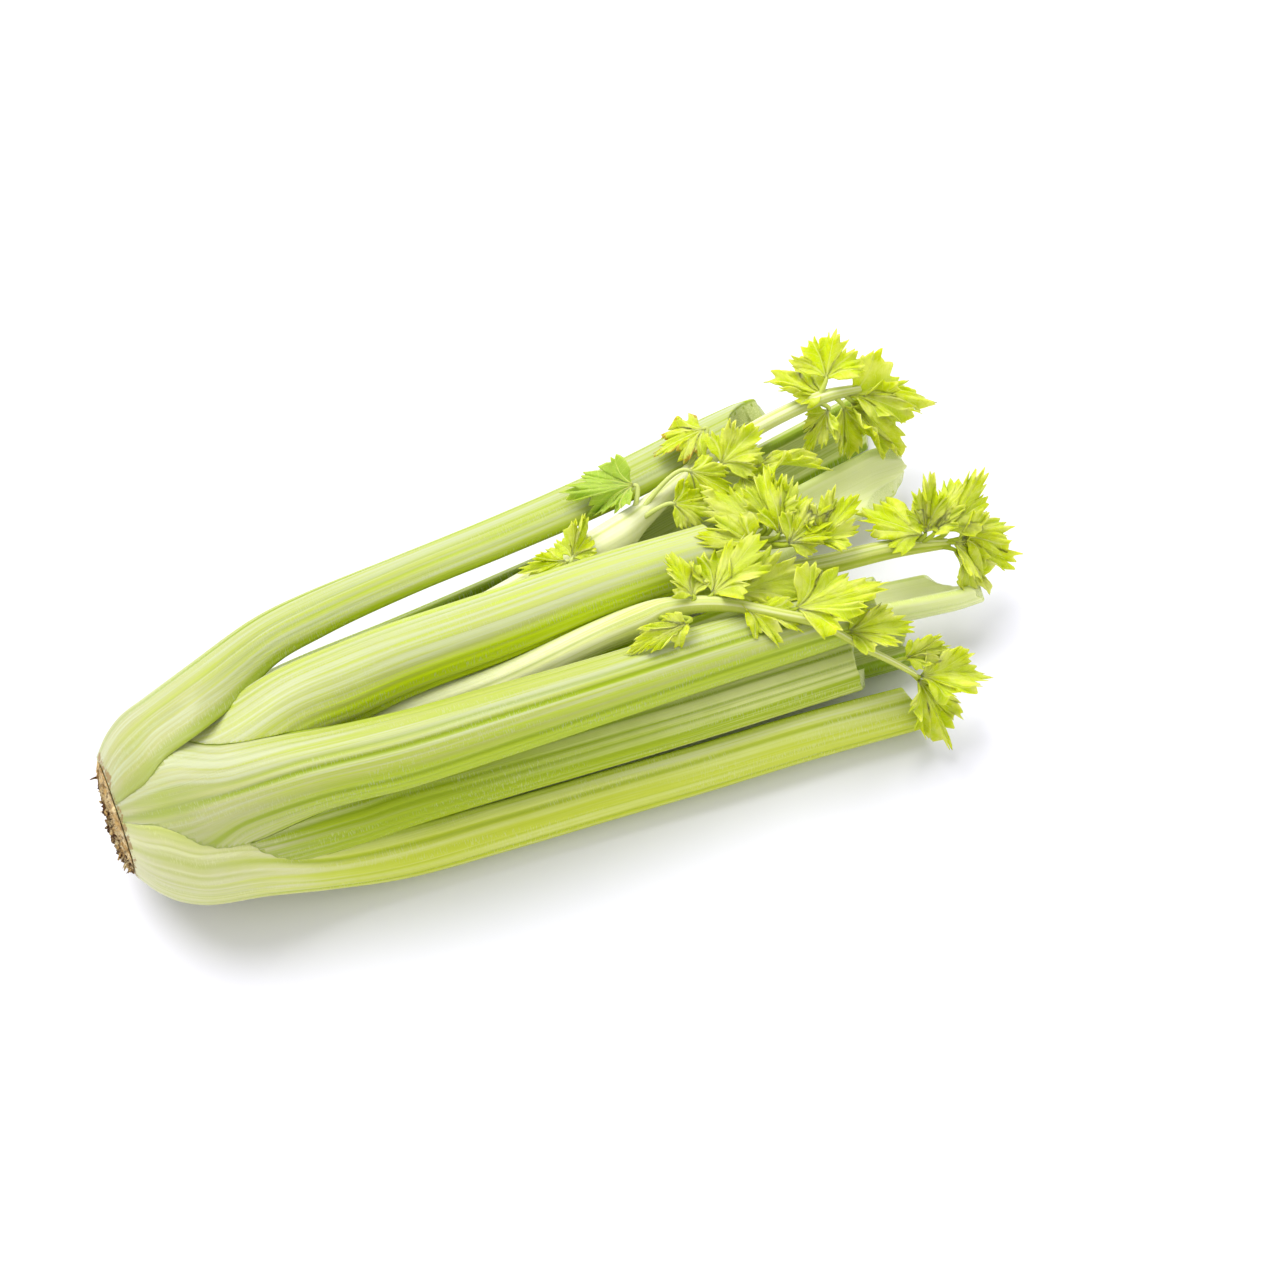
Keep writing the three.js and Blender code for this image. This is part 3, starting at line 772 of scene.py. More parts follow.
def make_scar_group() -> None:
    """Build the group for the dry brown marks that gather where a mask allows them."""
    graph, given, out = new_group("dry_marks", ("Where", "Size", "Share"), (), {"Marks": "Float"})
    value = graph.noise(graph.spot(), graph.over(OBJECT_SCALE, given["Size"]), 5.0, 0.7)
    least = graph.minus(1.0, graph.times(given["Share"], given["Where"]))
    graph.feed(out.inputs["Marks"], graph.ranged(value, least, graph.plus(least, 0.09)))


def make_vein_group() -> None:
    """Build the group for a leaflet's veins: one main vein to each lobe and slanting ones beside it."""
    graph, given, out = new_group(
        "leaf_veins", ("Across", "Along", "Spacing", "Slant", "Width"), (),
        {"Main": "Float", "Side": "Float", "Net": "Float"},
    )
    narrow = graph.times(given["Width"], graph.ranged(given["Along"], 0.0, 30.0, 1.25, 0.35))
    main = graph.ranged(graph.over(given["Across"], narrow), 0.3, 1.0, 1.0, 0.0)
    slanted = graph.minus(given["Along"], graph.times(given["Across"], given["Slant"]))
    turn = graph.math("FRACT", graph.over(slanted, given["Spacing"]))
    off = graph.times(graph.math("ABSOLUTE", graph.minus(turn, 0.5)), given["Spacing"])
    side = graph.ranged(graph.over(off, given["Width"]), 0.15, 0.7, 1.0, 0.0)
    net = graph.cells(graph.vector(given["Across"], given["Along"]), 0.75, "2D", 0.16)
    for label, value in (("Main", main), ("Side", side), ("Net", net)):
        graph.feed(out.inputs[label], value)


def make_pulp_group() -> None:
    """Build the group for a cut face: watery cells, a green outer skin and strands behind the ribs."""
    graph, given, out = new_group(
        "cut_pulp", ("Depth", "Across"), ("Pulp", "Skin", "Strand"), {"Color": "Color", "Cells": "Float"}
    )
    walls = graph.cells(graph.spot(), 1100.0, "3D", 0.22)
    watery = graph.mixed(graph.times(walls, 0.35), given["Pulp"], given["Skin"])
    rind = graph.ranged(given["Depth"], 0.02, 0.16, 0.8, 0.0)
    rinded = graph.mixed(rind, watery, given["Skin"])
    turn = graph.math("FRACT", graph.over(given["Across"], 3.6))
    aside = graph.ranged(graph.math("ABSOLUTE", graph.minus(turn, 0.5)), 0.05, 0.16, 1.0, 0.0)
    deep = graph.ranged(graph.math("ABSOLUTE", graph.minus(given["Depth"], 0.22)), 0.04, 0.12, 0.8, 0.0)
    graph.feed(out.inputs["Color"], graph.mixed(graph.times(aside, deep), rinded, given["Strand"]))
    graph.feed(out.inputs["Cells"], walls)


def set_shader(shader: bpy.types.Node, values: dict[str, object]) -> None:
    """Set plain values on a shader's own sockets, by the socket's name."""
    for name, value in values.items():
        shader.inputs[name].default_value = value


@dataclass(frozen=True)
class Finish:
    """A surface finish, which becomes a material."""

    def paint(self, graph: Graph, shader: bpy.types.Node) -> None:
        """Set and feed the sockets of the shader.

        Args:
            graph: The material's graph.
            shader: Its Principled BSDF.
        """
        raise NotImplementedError

    def build(self, name: str) -> bpy.types.Material:
        """Make the material.

        Args:
            name: Its name.

        Returns:
            The material.
        """
        material = bpy.data.materials.new(name)
        material.use_nodes = True
        material.node_tree.nodes.clear()
        graph = Graph(material.node_tree)
        shader = graph.node("ShaderNodeBsdfPrincipled")
        graph.placed("ShaderNodeOutputMaterial", {"Surface": shader.outputs[0]})
        self.paint(graph, shader)
        return material


@dataclass(frozen=True)
class FloorFinish(Finish):
    """Plain, pale and matt."""

    tone: Colour = (0.872, 0.862, 0.955, 1.0)

    def paint(self, graph: Graph, shader: bpy.types.Node) -> None:
        """Set the shader's plain values."""
        set_shader(shader, {"Base Color": self.tone, "Roughness": 0.9, "Specular IOR Level": 0.1})


@dataclass(frozen=True)
class Flesh:
    """Wet, see-through plant flesh under a waxy skin: shares from 0 to 1, and mm that the light travels."""

    weight: float
    travel: float
    shine: float
    coat: float

    def dress(self, shader: bpy.types.Node) -> None:
        """Set the shader's own values."""
        set_shader(shader, {
            "Subsurface Weight": self.weight,
            "Subsurface Radius": (1.0, 1.0, 0.35),
            "Subsurface Scale": self.travel * MM,
            "IOR": 1.4,
            "Specular IOR Level": self.shine,
            "Coat Weight": self.coat,
            "Coat Roughness": 0.22,
            "Coat IOR": 1.4,
        })


@dataclass(frozen=True)
class StalkFinish(Finish):
    """Ribbed, waxy stalk: blanched at the root, greener above, with pale crests and green creases, which
    carry a painted sheen and painted shade besides the real ribs, and with flanks greener as painted shade.

    blanched_to, green_from and tip_at are places along X. fibre and streak are a strand's width and length,
    cloud a cloud's size and strength, dash the size of a dash and of its patches, and mark the size of a dry
    mark and the share of the surface that it takes at most.
    """

    root: Colour = toned(188, 188, 140)
    body: Colour = toned(180, 188, 94)
    tip: Colour = toned(186, 194, 108)
    # crease: real green furrows between the ribs, darkened further as painted shade
    crease: Colour = toned(140, 162, 0)
    # crest: real pale ribs, paler still as a painted sheen on the lit upper side
    crest: Colour = toned(194, 200, 158)
    # side: saturated green for painted shade on the flanks, for green strips and for the cloudy tint
    side: Colour = toned(172, 194, 0)
    groove: Colour = toned(226, 232, 166)
    pulp: Colour = toned(206, 214, 146)
    scar: Colour = toned(150, 108, 58)
    blanched_to: float = -50.0
    green_from: float = 30.0
    tip_at: float = 210.0
    drift: float = 50.0
    fibre: tuple[float, float] = (1.1, 60.0)
    streak: tuple[float, float] = (2.6, 170.0)
    cloud: tuple[float, float] = (16.0, 0.2)
    dash: tuple[float, float] = (0.55, 5.0)
    mark: tuple[float, float] = (5.0, 0.62)
    crease_share: float = 0.75
    crest_share: float = 0.8
    # Share of the side colour at most, which carries painted shade on the flanks as well as green strips
    side_share: float = 0.85
    scar_share: float = 0.75
    stipple: float = 0.4
    lined_at_root: float = 0.6
    roughness: float = 0.36
    relief: float = 0.4
    relief_height: float = 0.25
    flesh: Flesh = Flesh(weight=0.35, travel=2.5, shine=0.2, coat=0.22)

    def ridged(self, graph: Graph, along: Socket, fibres: Socket, streaks: Socket) -> Socket:
        """Colour the outer skin: its tone along the stalk, its crests with a painted sheen, its flanks
        greener as painted shade, and its creases, partly painted shade.

        Args:
            graph: The material's graph.
            along: Place along the stalk.
            fibres: Fine strands.
            streaks: Broad strands.

        Returns:
            The colour.
        """
        crest = graph.mask("crest")
        tone = graph.place(
            "blanching", Along=along, Drift=graph.times(graph.minus(streaks, 0.5), self.drift),
            Root=self.root, Body=self.body, Tip=self.tip,
            Root_end=self.blanched_to, Body_start=self.green_from, Tip_end=self.tip_at,
        ).outputs[0]
        size, amount = self.cloud
        cloudy = graph.place("cloudy_tone", Size=size, Amount=amount, Color=tone, Tint=self.side).outputs[0]
        # Painted shade on the flanks, weaker towards the root
        flank_shade = graph.times(graph.mask("side"), graph.ranged(along, -45.0, 25.0, 0.12, 0.5))
        furrow = graph.minus(1.0, crest)
        depth = graph.plus(
            graph.times(streaks, 0.55), graph.times(fibres, 0.2), graph.times(furrow, 0.4), flank_shade
        )
        # Pale crests: real pale ribs, and a painted sheen where the flanks' painted shade is low
        crested = graph.mixed(graph.ranged(depth, 0.2, 0.6, self.crest_share, 0.0), cloudy, self.crest)
        greener = graph.ranged(along, self.blanched_to - 12, self.green_from + 15)
        # Green strips, and painted shade on the flanks
        deeper = graph.times(graph.ranged(depth, 0.5, 1.05, 0.0, self.side_share), greener)
        flanked = graph.mixed(deeper, crested, self.side)
        lined = graph.ranged(along, self.blanched_to - 10, self.green_from - 20, self.lined_at_root, 1.0)
        # Creases: real green furrows between the ribs, darkened as painted shade
        hollow = graph.times(graph.ranged(crest, 0.15, 0.85, 1.0, 0.0), self.crease_share)
        hollow = graph.times(hollow, graph.ranged(graph.mask("depth"), 0.3, 0.8, 1.0, 0.0), lined)
        return graph.mixed(hollow, flanked, self.crease)

    def marks(self, graph: Graph, along: Socket) -> Socket:
        """Find the dry marks, at the root and along the rims of the sheath.

        Args:
            graph: The material's graph.
            along: Place along the stalk.

        Returns:
            How dry and brown a point is, from 0 to 1.
        """
        near_root = graph.ranged(along, ROOT_X, ROOT_X + 5, 0.9, 0.0)
        at_rim = graph.times(graph.mask("rim"), graph.ranged(along, ROOT_X + 2, 10.0, 0.6, 0.0))
        where = graph.math("MAXIMUM", near_root, at_rim)
        size, share = self.mark
        return graph.place("dry_marks", Where=where, Size=size, Share=share).outputs[0]

    def paint(self, graph: Graph, shader: bpy.types.Node) -> None:
        """Set and feed the sockets of the shader.

        Args:
            graph: The material's graph.
            shader: Its Principled BSDF.
        """
        across, along = graph.lay()
        fibres, streaks = (
            graph.place("long_fibres", Across=place, Along=along, Width=width, Length=length).outputs[0]
            for place, (width, length) in ((across, self.fibre), (graph.mask("band"), self.streak))
        )
        inside = graph.times(
            graph.ranged(graph.mask("depth"), 0.5, 1.0, 0.0, 0.85),
            graph.ranged(fibres, 0.1, 0.9, 1.0, 0.7),
            graph.ranged(streaks, 0.3, 0.9, 1.0, 0.45),
        )
        lined = graph.mixed(inside, self.ridged(graph, along, fibres, streaks), self.groove)
        dash, patch = self.dash
        dashes = graph.place("cross_stipple", Across=across, Along=along, Dash=dash, Patch=patch).outputs[0]
        dashed = graph.mixed(graph.times(dashes, self.stipple), lined, self.crest)
        marks = self.marks(graph, along)
        scarred = graph.mixed(graph.times(marks, self.scar_share), dashed, self.scar)
        pulp = graph.place(
            "cut_pulp", Depth=graph.mask("depth"), Across=across,
            Pulp=self.pulp, Skin=self.crease, Strand=self.crease,
        )
        cut = graph.ranged(graph.mask("cut"), 0.4, 0.8)
        height = graph.plus(
            graph.times(fibres, 0.5), graph.times(dashes, 0.4), graph.times(pulp.outputs["Cells"], cut, 0.6)
        )
        rough = graph.plus(self.roughness, graph.times(fibres, 0.1), graph.times(marks, 0.35))
        graph.feed(shader.inputs["Base Color"], graph.mixed(cut, scarred, pulp.outputs["Color"]))
        graph.feed(shader.inputs["Roughness"], rough)
        graph.feed(shader.inputs["Normal"], graph.bumped(height, self.relief, self.relief_height))
        self.flesh.dress(shader)


@dataclass(frozen=True)
class LeafFinish(Finish):
    """Thin, puckered leaf: yellow-green with paler veins, and browned tips where it is worn. Its hollows are
    darker as painted shade, and its pale clouds are partly a painted highlight.
    """

    blade: Colour = toned(190, 205, 12)
    # deep: painted shade for the hollows of the ruffled blade
    deep: Colour = toned(176, 197, 0)
    # pale: random pale clouds, partly a painted highlight
    pale: Colour = toned(218, 224, 122)
    vein: Colour = toned(212, 220, 118)
    green: Colour = toned(150, 182, 70)
    brown: Colour = toned(168, 118, 46)
    vein_spacing: float = 3.4
    vein_slant: float = 1.25
    vein_width: float = 0.42
    roughness: float = 0.48
    relief: float = 0.5
    relief_height: float = 0.35
    flesh: Flesh = Flesh(weight=0.85, travel=2.2, shine=0.12, coat=0.1)

    def paint(self, graph: Graph, shader: bpy.types.Node) -> None:
        """Set and feed the sockets of the shader.

        Args:
            graph: The material's graph.
            shader: Its Principled BSDF.
        """
        across, along = graph.lay()
        veins = graph.place(
            "leaf_veins", Across=across, Along=along,
            Spacing=self.vein_spacing, Slant=self.vein_slant, Width=self.vein_width,
        )
        main, side, net = (veins.outputs[label] for label in ("Main", "Side", "Net"))
        # Pale clouds at random: tone that changes, and partly a painted highlight
        cloudy = graph.place("cloudy_tone", Size=8.0, Amount=0.8, Color=self.blade, Tint=self.pale)
        colour = cloudy.outputs[0]
        marks = graph.place("dry_marks", Where=graph.mask("worn"), Size=4.0, Share=0.62).outputs[0]
        for share, tint in (
            # Painted shade: the blade's hollows darker
            (graph.ranged(graph.mask("hollow"), 0.1, 0.9, 0.0, 0.6), self.deep),
            (graph.ranged(graph.mask("tint"), 0.0, 1.0, 0.0, 0.85), self.green),
            (graph.times(net, 0.1), self.pale),
            (graph.times(side, 0.28), self.vein),
            (graph.times(main, 0.8), self.vein),
            (graph.times(marks, 0.8), self.brown),
        ):
            colour = graph.mixed(share, colour, tint)
        puff = graph.plus(graph.times(main, -0.7), graph.times(side, -0.6), graph.times(net, -0.2))
        graph.feed(shader.inputs["Base Color"], colour)
        graph.feed(shader.inputs["Roughness"], graph.plus(self.roughness, graph.times(marks, 0.3)))
        graph.feed(shader.inputs["Normal"], graph.bumped(puff, self.relief, self.relief_height))
        self.flesh.dress(shader)


@dataclass(frozen=True)
class CrownFinish(Finish):
    """Dry corky root crown: tan with dark fibres and dirt in its hollows."""

    cork: Colour = toned(204, 166, 100)
    dark: Colour = toned(74, 44, 18)
    pale: Colour = toned(238, 222, 172)
    grit_scale: float = 330.0
    relief: float = 0.8
    relief_height: float = 0.5

    def paint(self, graph: Graph, shader: bpy.types.Node) -> None:
        """Set and feed the sockets of the shader.

        Args:
            graph: The material's graph.
            shader: Its Principled BSDF.
        """
        cloudy = graph.place("cloudy_tone", Size=4.0, Amount=0.8, Color=self.cork, Tint=self.pale)
        grit = graph.noise(graph.spot(), self.grit_scale, 6.0, 0.72)
        hollow = graph.ranged(graph.mask("hollow"), 0.3, 0.95, 0.0, 1.4)
        soiled = graph.times(graph.mask("soil"), graph.ranged(grit, 0.4, 0.58, 0.35, 1.0))
        gritty = graph.ranged(grit, 0.45, 0.64, 0.0, 0.75)
        darker = graph.math("ADD", graph.plus(graph.times(hollow, 0.4), soiled), gritty, clamp=True)
        graph.feed(shader.inputs["Base Color"], graph.mixed(darker, cloudy.outputs[0], self.dark))
        graph.feed(shader.inputs["Roughness"], graph.ranged(grit, 0.3, 0.7, 0.75, 0.95))
        graph.feed(shader.inputs["Normal"], graph.bumped(grit, self.relief, self.relief_height))
        set_shader(shader, {"IOR": 1.35})


def build_shared_groups() -> None:
    """Build every shader node group once."""
    for make in (
        make_fibre_group, make_stipple_group, make_tone_group, make_mottle_group,
        make_scar_group, make_vein_group, make_pulp_group,
    ):
        make()


# ---- Sub-assemblies ----


def finish_piece(piece: bpy.types.Object, node: str, material: bpy.types.Material) -> None:
    """Dress a piece and tie it to the solid that it stands for.

    Args:
        piece: The piece.
        node: Name of the solid.
        material: The finish.
    """
    piece.data.materials.clear()
    piece.data.materials.append(material)
    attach(piece, BODY)
    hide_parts(node)
    triangles = sum(len(face.vertices) - 2 for face in piece.data.polygons)
    log.info("%s: %d triangles, stands for %s", piece.name, triangles, node)


def keep_largest(mesh: bpy.types.Mesh) -> None:
    """Delete every loose part of a mesh but the largest.

    Args:
        mesh: The mesh, which is changed.
    """
    work = bmesh.new()
    work.from_mesh(mesh)
    seen: set[int] = set()
    parts = []
    for start in work.verts:
        if start.index in seen:
            continue
        seen.add(start.index)
        part = [start]
        for vert in part:
            for edge in vert.link_edges:
                other = edge.other_vert(vert)
                if other.index not in seen:
                    seen.add(other.index)
                    part.append(other)
        parts.append(part)
    parts.sort(key=len)
    for part in parts[:-1]:
        bmesh.ops.delete(work, geom=part, context="VERTS")
    work.to_mesh(mesh)
    work.free()


def trim(piece: bpy.types.Object, cutters: Sequence[bpy.types.Object]) -> None:
    """Cut a piece by its outer neighbours, and keep its main part.

    Args:
        piece: The piece, which gets a new mesh.
        cutters: Closed objects.
    """
    for cutter in cutters:
        modifier = piece.modifiers.new(cutter.name, "BOOLEAN")
        modifier.operation = "DIFFERENCE"
        modifier.solver = "MANIFOLD"
        modifier.object = cutter
    graph = bpy.context.evaluated_depsgraph_get()
    graph.update()
    shaped = bpy.data.meshes.new_from_object(
        piece.evaluated_get(graph), preserve_all_data_layers=True, depsgraph=graph
    )
    piece.modifiers.clear()
    old = piece.data
    piece.data = shaped
    bpy.data.meshes.remove(old)
    shaped.name = piece.name
    keep_largest(shaped)


@dataclass
class Stalk:
    """One cut stalk, from its sheathing base in the butt to its slanted cut end.

    angle and layer place the sheath in the butt. wrap is half of the arc that it covers at the root, at the
    belly and at the shoulder. path gives [x, y, z, radius, outward angle] from the shoulder to the end.
    """

    name: str
    angle: float
    layer: float
    wrap: tuple[float, float, float]
    cut: tuple[float, float]
    path: Keys
    finish: StalkFinish
    detail: Detail = Detail.SEEN
    ribs: int = 13
    seed: int = 1
    ragged: float = 0.25
    slot: str = "outer_stalk"

    def petiole(self) -> Petiole:
        """Work out the stalk's sections from its place in the butt and its path."""
        at_root, at_belly, at_shoulder = self.wrap
        outward = math.radians(self.angle)
        keys = []
        for distance, share, progress in SHEATH_STATIONS:
            swollen = 1 - math.exp(-distance / SWELL_LENGTH)
            inset = self.layer * LAYER_INSET * swollen
            reach = PLATE_RADIUS + (BELLY_RADIUS - PLATE_RADIUS) * swollen - inset
            out = reach * (1 - share)
            y = BELLY_SHIFT * swollen + out * math.cos(outward)
            z = AXIS_Z + out * math.sin(outward)
            span = at_root + (at_belly - at_root) * progress
            wall = (SHEATH_THICKNESS, SHEATH_EDGE)
            keys.append((ROOT_X + distance, y, z, reach * share, span, *wall, self.angle))
        spans = [at_shoulder, NECK_SPAN]
        edges = [SHEATH_EDGE, (STALK_EDGE + SHEATH_EDGE) / 2]
        for i, (x, y, z, radius, angle) in enumerate(self.path):
            span = spans[i] if i < 2 else STALK_SPAN
            edge = edges[i] if i < 2 else STALK_EDGE
            wall = SHEATH_THICKNESS + 1 if i == 0 else radius * WALL_SHARE
            turned = angle + 360 * round((self.angle - angle) / 360)
            keys.append((x, y, z, radius, span, wall, edge, turned))
        return Petiole(
            Track(keys), self.ribs, STALK_RIB_DEPTH, self.detail, self.cut, self.seed,
            ragged=self.ragged, tuck=SHEATH_TUCK,
        )

    def build(self, cutters: Sequence[bpy.types.Object]) -> bpy.types.Object:
        """Build and dress the stalk.

        Args:
            cutters: The outer neighbours, a gap larger than they are.

        Returns:
            The finished piece.
        """
        piece = self.petiole().surface().to_object(self.name + "_fine")
        trim(piece, cutters)
        piece.data.set_sharp_from_angle(angle=SHARP_ANGLE)
        finish_piece(piece, self.name, self.finish.build(self.name + "_finish"))
        return piece


@dataclass(frozen=True)
class LeafForm:
    """The shape that all leaflets share: lobes, teeth, arch and waves, as shares of the length."""

    # [degrees from the midrib, reach, half width in degrees, teeth]
    lobes: Keys = (
        (-66, 0.78, 17, 4), (-35, 0.93, 16, 4), (0, 1.0, 20, 5), (35, 0.93, 16, 4), (66, 0.78, 17, 4)
    )
    # Least and greatest depth of the gaps between lobes and between teeth, as shares of the reach there
    sinus: tuple[float, float] = (0.5, 0.8)
    notch: tuple[float, float] = (0.76, 0.9)
    shoulder: float = 0.2
    wedge: float = 0.42
    droop: float = 0.18
    fold: float = 0.16
    tilt: float = 0.26
    ruffle: float = 0.085
    natural_width: float = 1.3
    thickness: float = 0.5
    round_points: int = 181
    rings: int = 14
    last_degree: float = 82.0
    foot_reach: float = 0.3
    first_ring: float = 0.03
    vein_step: float = 0.16


def under_ceiling(height: Array) -> Array:
    """Bend heights that come near the ceiling flat, so that they stay below it.

    Args:
        height: Heights over the surface.

    Returns:
        The bent heights.
    """
    low, high = CEILING
    over = np.maximum(height - low, 0.0) / (high - low)
    return height + (high - low) * (np.tanh(over) - over)


def closed_sheet(rows: int, columns: int) -> list[tuple[int, ...]]:
    """Join two like grids of points into a thin sheet with a closed border.

    Args:
        rows: Rows of each grid.
        columns: Points in each row.

    Returns:
        The faces, as indexes into the upper grid followed by the lower one.
    """
    size = rows * columns
    k, i = np.meshgrid(np.arange(rows - 1), np.arange(columns - 1), indexing="ij")
    q = k * columns + i
    top = np.stack([q, q + columns, q + columns + 1, q + 1], -1).reshape(-1, 4)
    border = [
        *range(columns), *range(2 * columns - 1, size, columns),
        *range(size - 2, size - columns - 1, -1), *range(size - 2 * columns, 0, -columns),
    ]
    rim = [[p, n, n + size, p + size] for p, n in zip(border, border[1:] + border[:1])]
    return [tuple(face) for face in top.tolist() + (top[:, ::-1] + size).tolist() + rim]


@dataclass
class Leaflet:
    """One leaflet: where its stalk leaves the stem, its foot, its directions and its size."""

    stem_x: float
    foot: tuple[float, float, float]
    heading: float
    pitch: float
    length: float
    width: float
    roll: float
    tint: float
    worn: float
    seed: int
    form: LeafForm = LeafForm()

    def directions(self) -> tuple[Array, Array, Array]:
        """Find the leaflet's own directions.

        Returns:
            The directions along the midrib, across it and out of the upper face.
        """
        h, p = math.radians(self.heading), math.radians(self.pitch)
        midrib = Vector((math.cos(p) * math.cos(h), math.cos(p) * math.sin(h), math.sin(p)))
        level = Vector((-math.sin(h), math.cos(h), 0))
        across = Matrix.Rotation(math.radians(self.roll), 3, midrib) @ level
        return np.array(midrib), np.array(across), np.array(midrib.cross(across))

    def outline(self, drawn: np.random.Generator) -> tuple[Array, Array, Array]:
        """Draw the toothed outline as corners with straight edges between them.

        Args:
            drawn: The leaflet's own random numbers.

        Returns:
            The corners as [degrees, reach], the same without the teeth, and each lobe as
            [degrees, half width].
        """
        form = self.form
        corners = [(side * form.last_degree, form.foot_reach) for side in (-1, 1)]
        plain = list(corners)
        lobes = []
        for k, (centre, far, half, teeth) in enumerate(form.lobes):
            middle = centre + (drawn.uniform(-4, 4) if centre else 0)
            long = far * drawn.uniform(0.86, 1.0) if centre else far
            lobes.append((middle, half))
            for j in range(teeth):
                t = (2 * j + 1) / teeth - 1 + drawn.uniform(-0.07, 0.07)
                tip = long * (1 - form.shoulder * abs(t) ** 1.5) * drawn.uniform(0.94, 1.03)
                corners.append((middle + t * half, tip))
                plain.append((middle + t * half, tip * 0.96))
                if j < teeth - 1:
                    gap = (2 * j + 2) / teeth - 1 + drawn.uniform(-0.06, 0.06)
                    low = long * (1 - form.shoulder * abs(gap) ** 1.5) * drawn.uniform(*form.notch)
                    corners.append((middle + gap * half, low))
            if k < len(form.lobes) - 1:
                after = form.lobes[k + 1]
                sinus = min(long, after[1]) * drawn.uniform(*form.sinus)
                between = (centre + half + after[0] - after[2]) / 2 + drawn.uniform(-1.5, 1.5)
                corners.append((between, sinus))
                plain.append((between, sinus))
        return np.array(sorted(corners)), np.array(sorted(plain)), np.array(lobes)

    def height(
        self, u: Array, v: Array, s: Array, phi: Array, plain: Array, lobes: Array,
        drawn: np.random.Generator,
    ) -> tuple[Array, Array]:
        """Work out how far the blade stands off its own plane.

        Args:
            u: Places along the midrib.
            v: Places across it.
            s: Share of the way from the foot to the rim.
            phi: Direction of the outline that each place belongs to, in degrees.
            plain: Reach of the outline without its teeth.
            lobes: Each lobe's vein and half width, in degrees.
            drawn: The leaflet's own random numbers.

        Returns:
            The height, and the part of it that is ruffle, from -1 to 1.
        """
        form, length = self.form, self.length
        a, b, c, d = drawn.uniform(0, 2 * np.pi, 4)
        w = form.fold * length * s**2 * (1 - plain) - form.droop * u * u / length * drawn.uniform(0.7, 1.4)
        for middle, half in lobes:
            lean = form.tilt * drawn.uniform(-1, 1) * (0.5 if abs(middle) < 10 else 1.0)
            w = w + length * lean * s**2 * np.exp(-(((phi - middle) / half) ** 2))
        turn = np.radians(phi)
        ruffle = 0.7 * np.sin(4.7 * turn + a + 2.4 * s) * s**1.6
        frill = 0.6 * np.sin(13 * turn + b + 4 * s) + 0.4 * np.sin(27 * turn + c + 2 * s)
        ruffle = ruffle + frill * s**4 * (1 + 0.5 * np.sin(2 * turn + d))
        w = w + form.ruffle * length * ruffle
        w = w + drawn.uniform(-0.4, 0.4) * u * v / length + drawn.uniform(-0.35, 0.2) * v * v / length
        w = w + 0.02 * length * np.sin(5 * u / length + c) * np.sin(7 * v / length + b)
        w = w + 0.22 * eased(0.1, 0.5, s) * np.sin(1.9 * u + 2 * np.sin(0.9 * v + a)) * np.sin(1.7 * v + c)
        return w, ruffle

    def surface(self, stalks: Sequence[Petiole]) -> Surface:
        """Build the blade as a thin closed sheet.

        Args:
            stalks: Stalks that the blade lies on and keeps clear of.

        Returns:
            The surface, with its masks hollow, tint and worn.
        """
        form = self.form
        drawn = np.random.default_rng(self.seed)
        corners, soft, lobes = self.outline(drawn)
        degrees = np.linspace(-form.last_degree, form.last_degree, form.round_points)
        reach = np.interp(degrees, corners[:, 0], corners[:, 1])
        plain = np.interp(degrees, soft[:, 0], soft[:, 1])
        off = np.abs(degrees[:, None] - lobes[None, :, 0]).min(1)
        share = form.first_ring + (1 - form.first_ring) * np.linspace(0, 1, form.rings) ** 0.8
        s = share[:, None]
        phi = degrees[None, :]
        closing = 1 - form.wedge * (1 - s) ** 1.3
        angle = np.radians(phi) * closing
        r = self.length * s * (plain + (reach - plain) * s**5)
        wide = self.width / (form.natural_width * self.length)
        u = r * np.cos(angle)
        v = r * np.sin(angle) * wide
        w, ruffle = self.height(u, v, s, phi, plain[None, :], lobes, drawn)
        vein = r * np.radians(off)[None, :] * closing
        w = w + form.vein_step * (1 - np.exp(-((vein / 0.8) ** 2))) * eased(0.0, 0.4, s)
        midrib, across, up = self.directions()
        middle = np.array(self.foot) + u[..., None] * midrib + v[..., None] * across + w[..., None] * up
        for stalk in stalks:
            middle = stalk.clear_of(middle, GAP + form.thickness / 2)
        middle[..., 2] = under_ceiling(np.maximum(middle[..., 2], LEAST_HEIGHT + form.thickness))
        normal = np.cross(np.gradient(middle, axis=0), np.gradient(middle, axis=1))
        normal /= np.maximum(np.linalg.norm(normal, axis=-1), 1e-9)[..., None]
        half = form.thickness / 2 * (1 - 0.55 * eased(0.9, 1.0, s))[..., None]
        under = 0.4 * (np.exp(-((vein / 0.7) ** 2)) * (1 - s) * eased(0.0, 0.1, s))[..., None]
        points = np.concatenate([
            (middle + normal * half).reshape(-1, 3), (middle - normal * (half + under)).reshape(-1, 3)
        ])
        masks = {
            # hollow: low places of the ruffle, which the leaf finish darkens as painted shade
            "hollow": np.tile((0.5 - 0.5 * np.tanh(1.8 * ruffle)).ravel(), 2),
            "tint": np.full(len(points), self.tint),
            "worn": np.tile((self.worn * s**3 * np.ones_like(phi)).ravel(), 2),
        }
        lay = np.tile(np.stack([vein, r], -1).reshape(-1, 2), (2, 1))
        return Surface(points, closed_sheet(*vein.shape), lay, masks).outward()


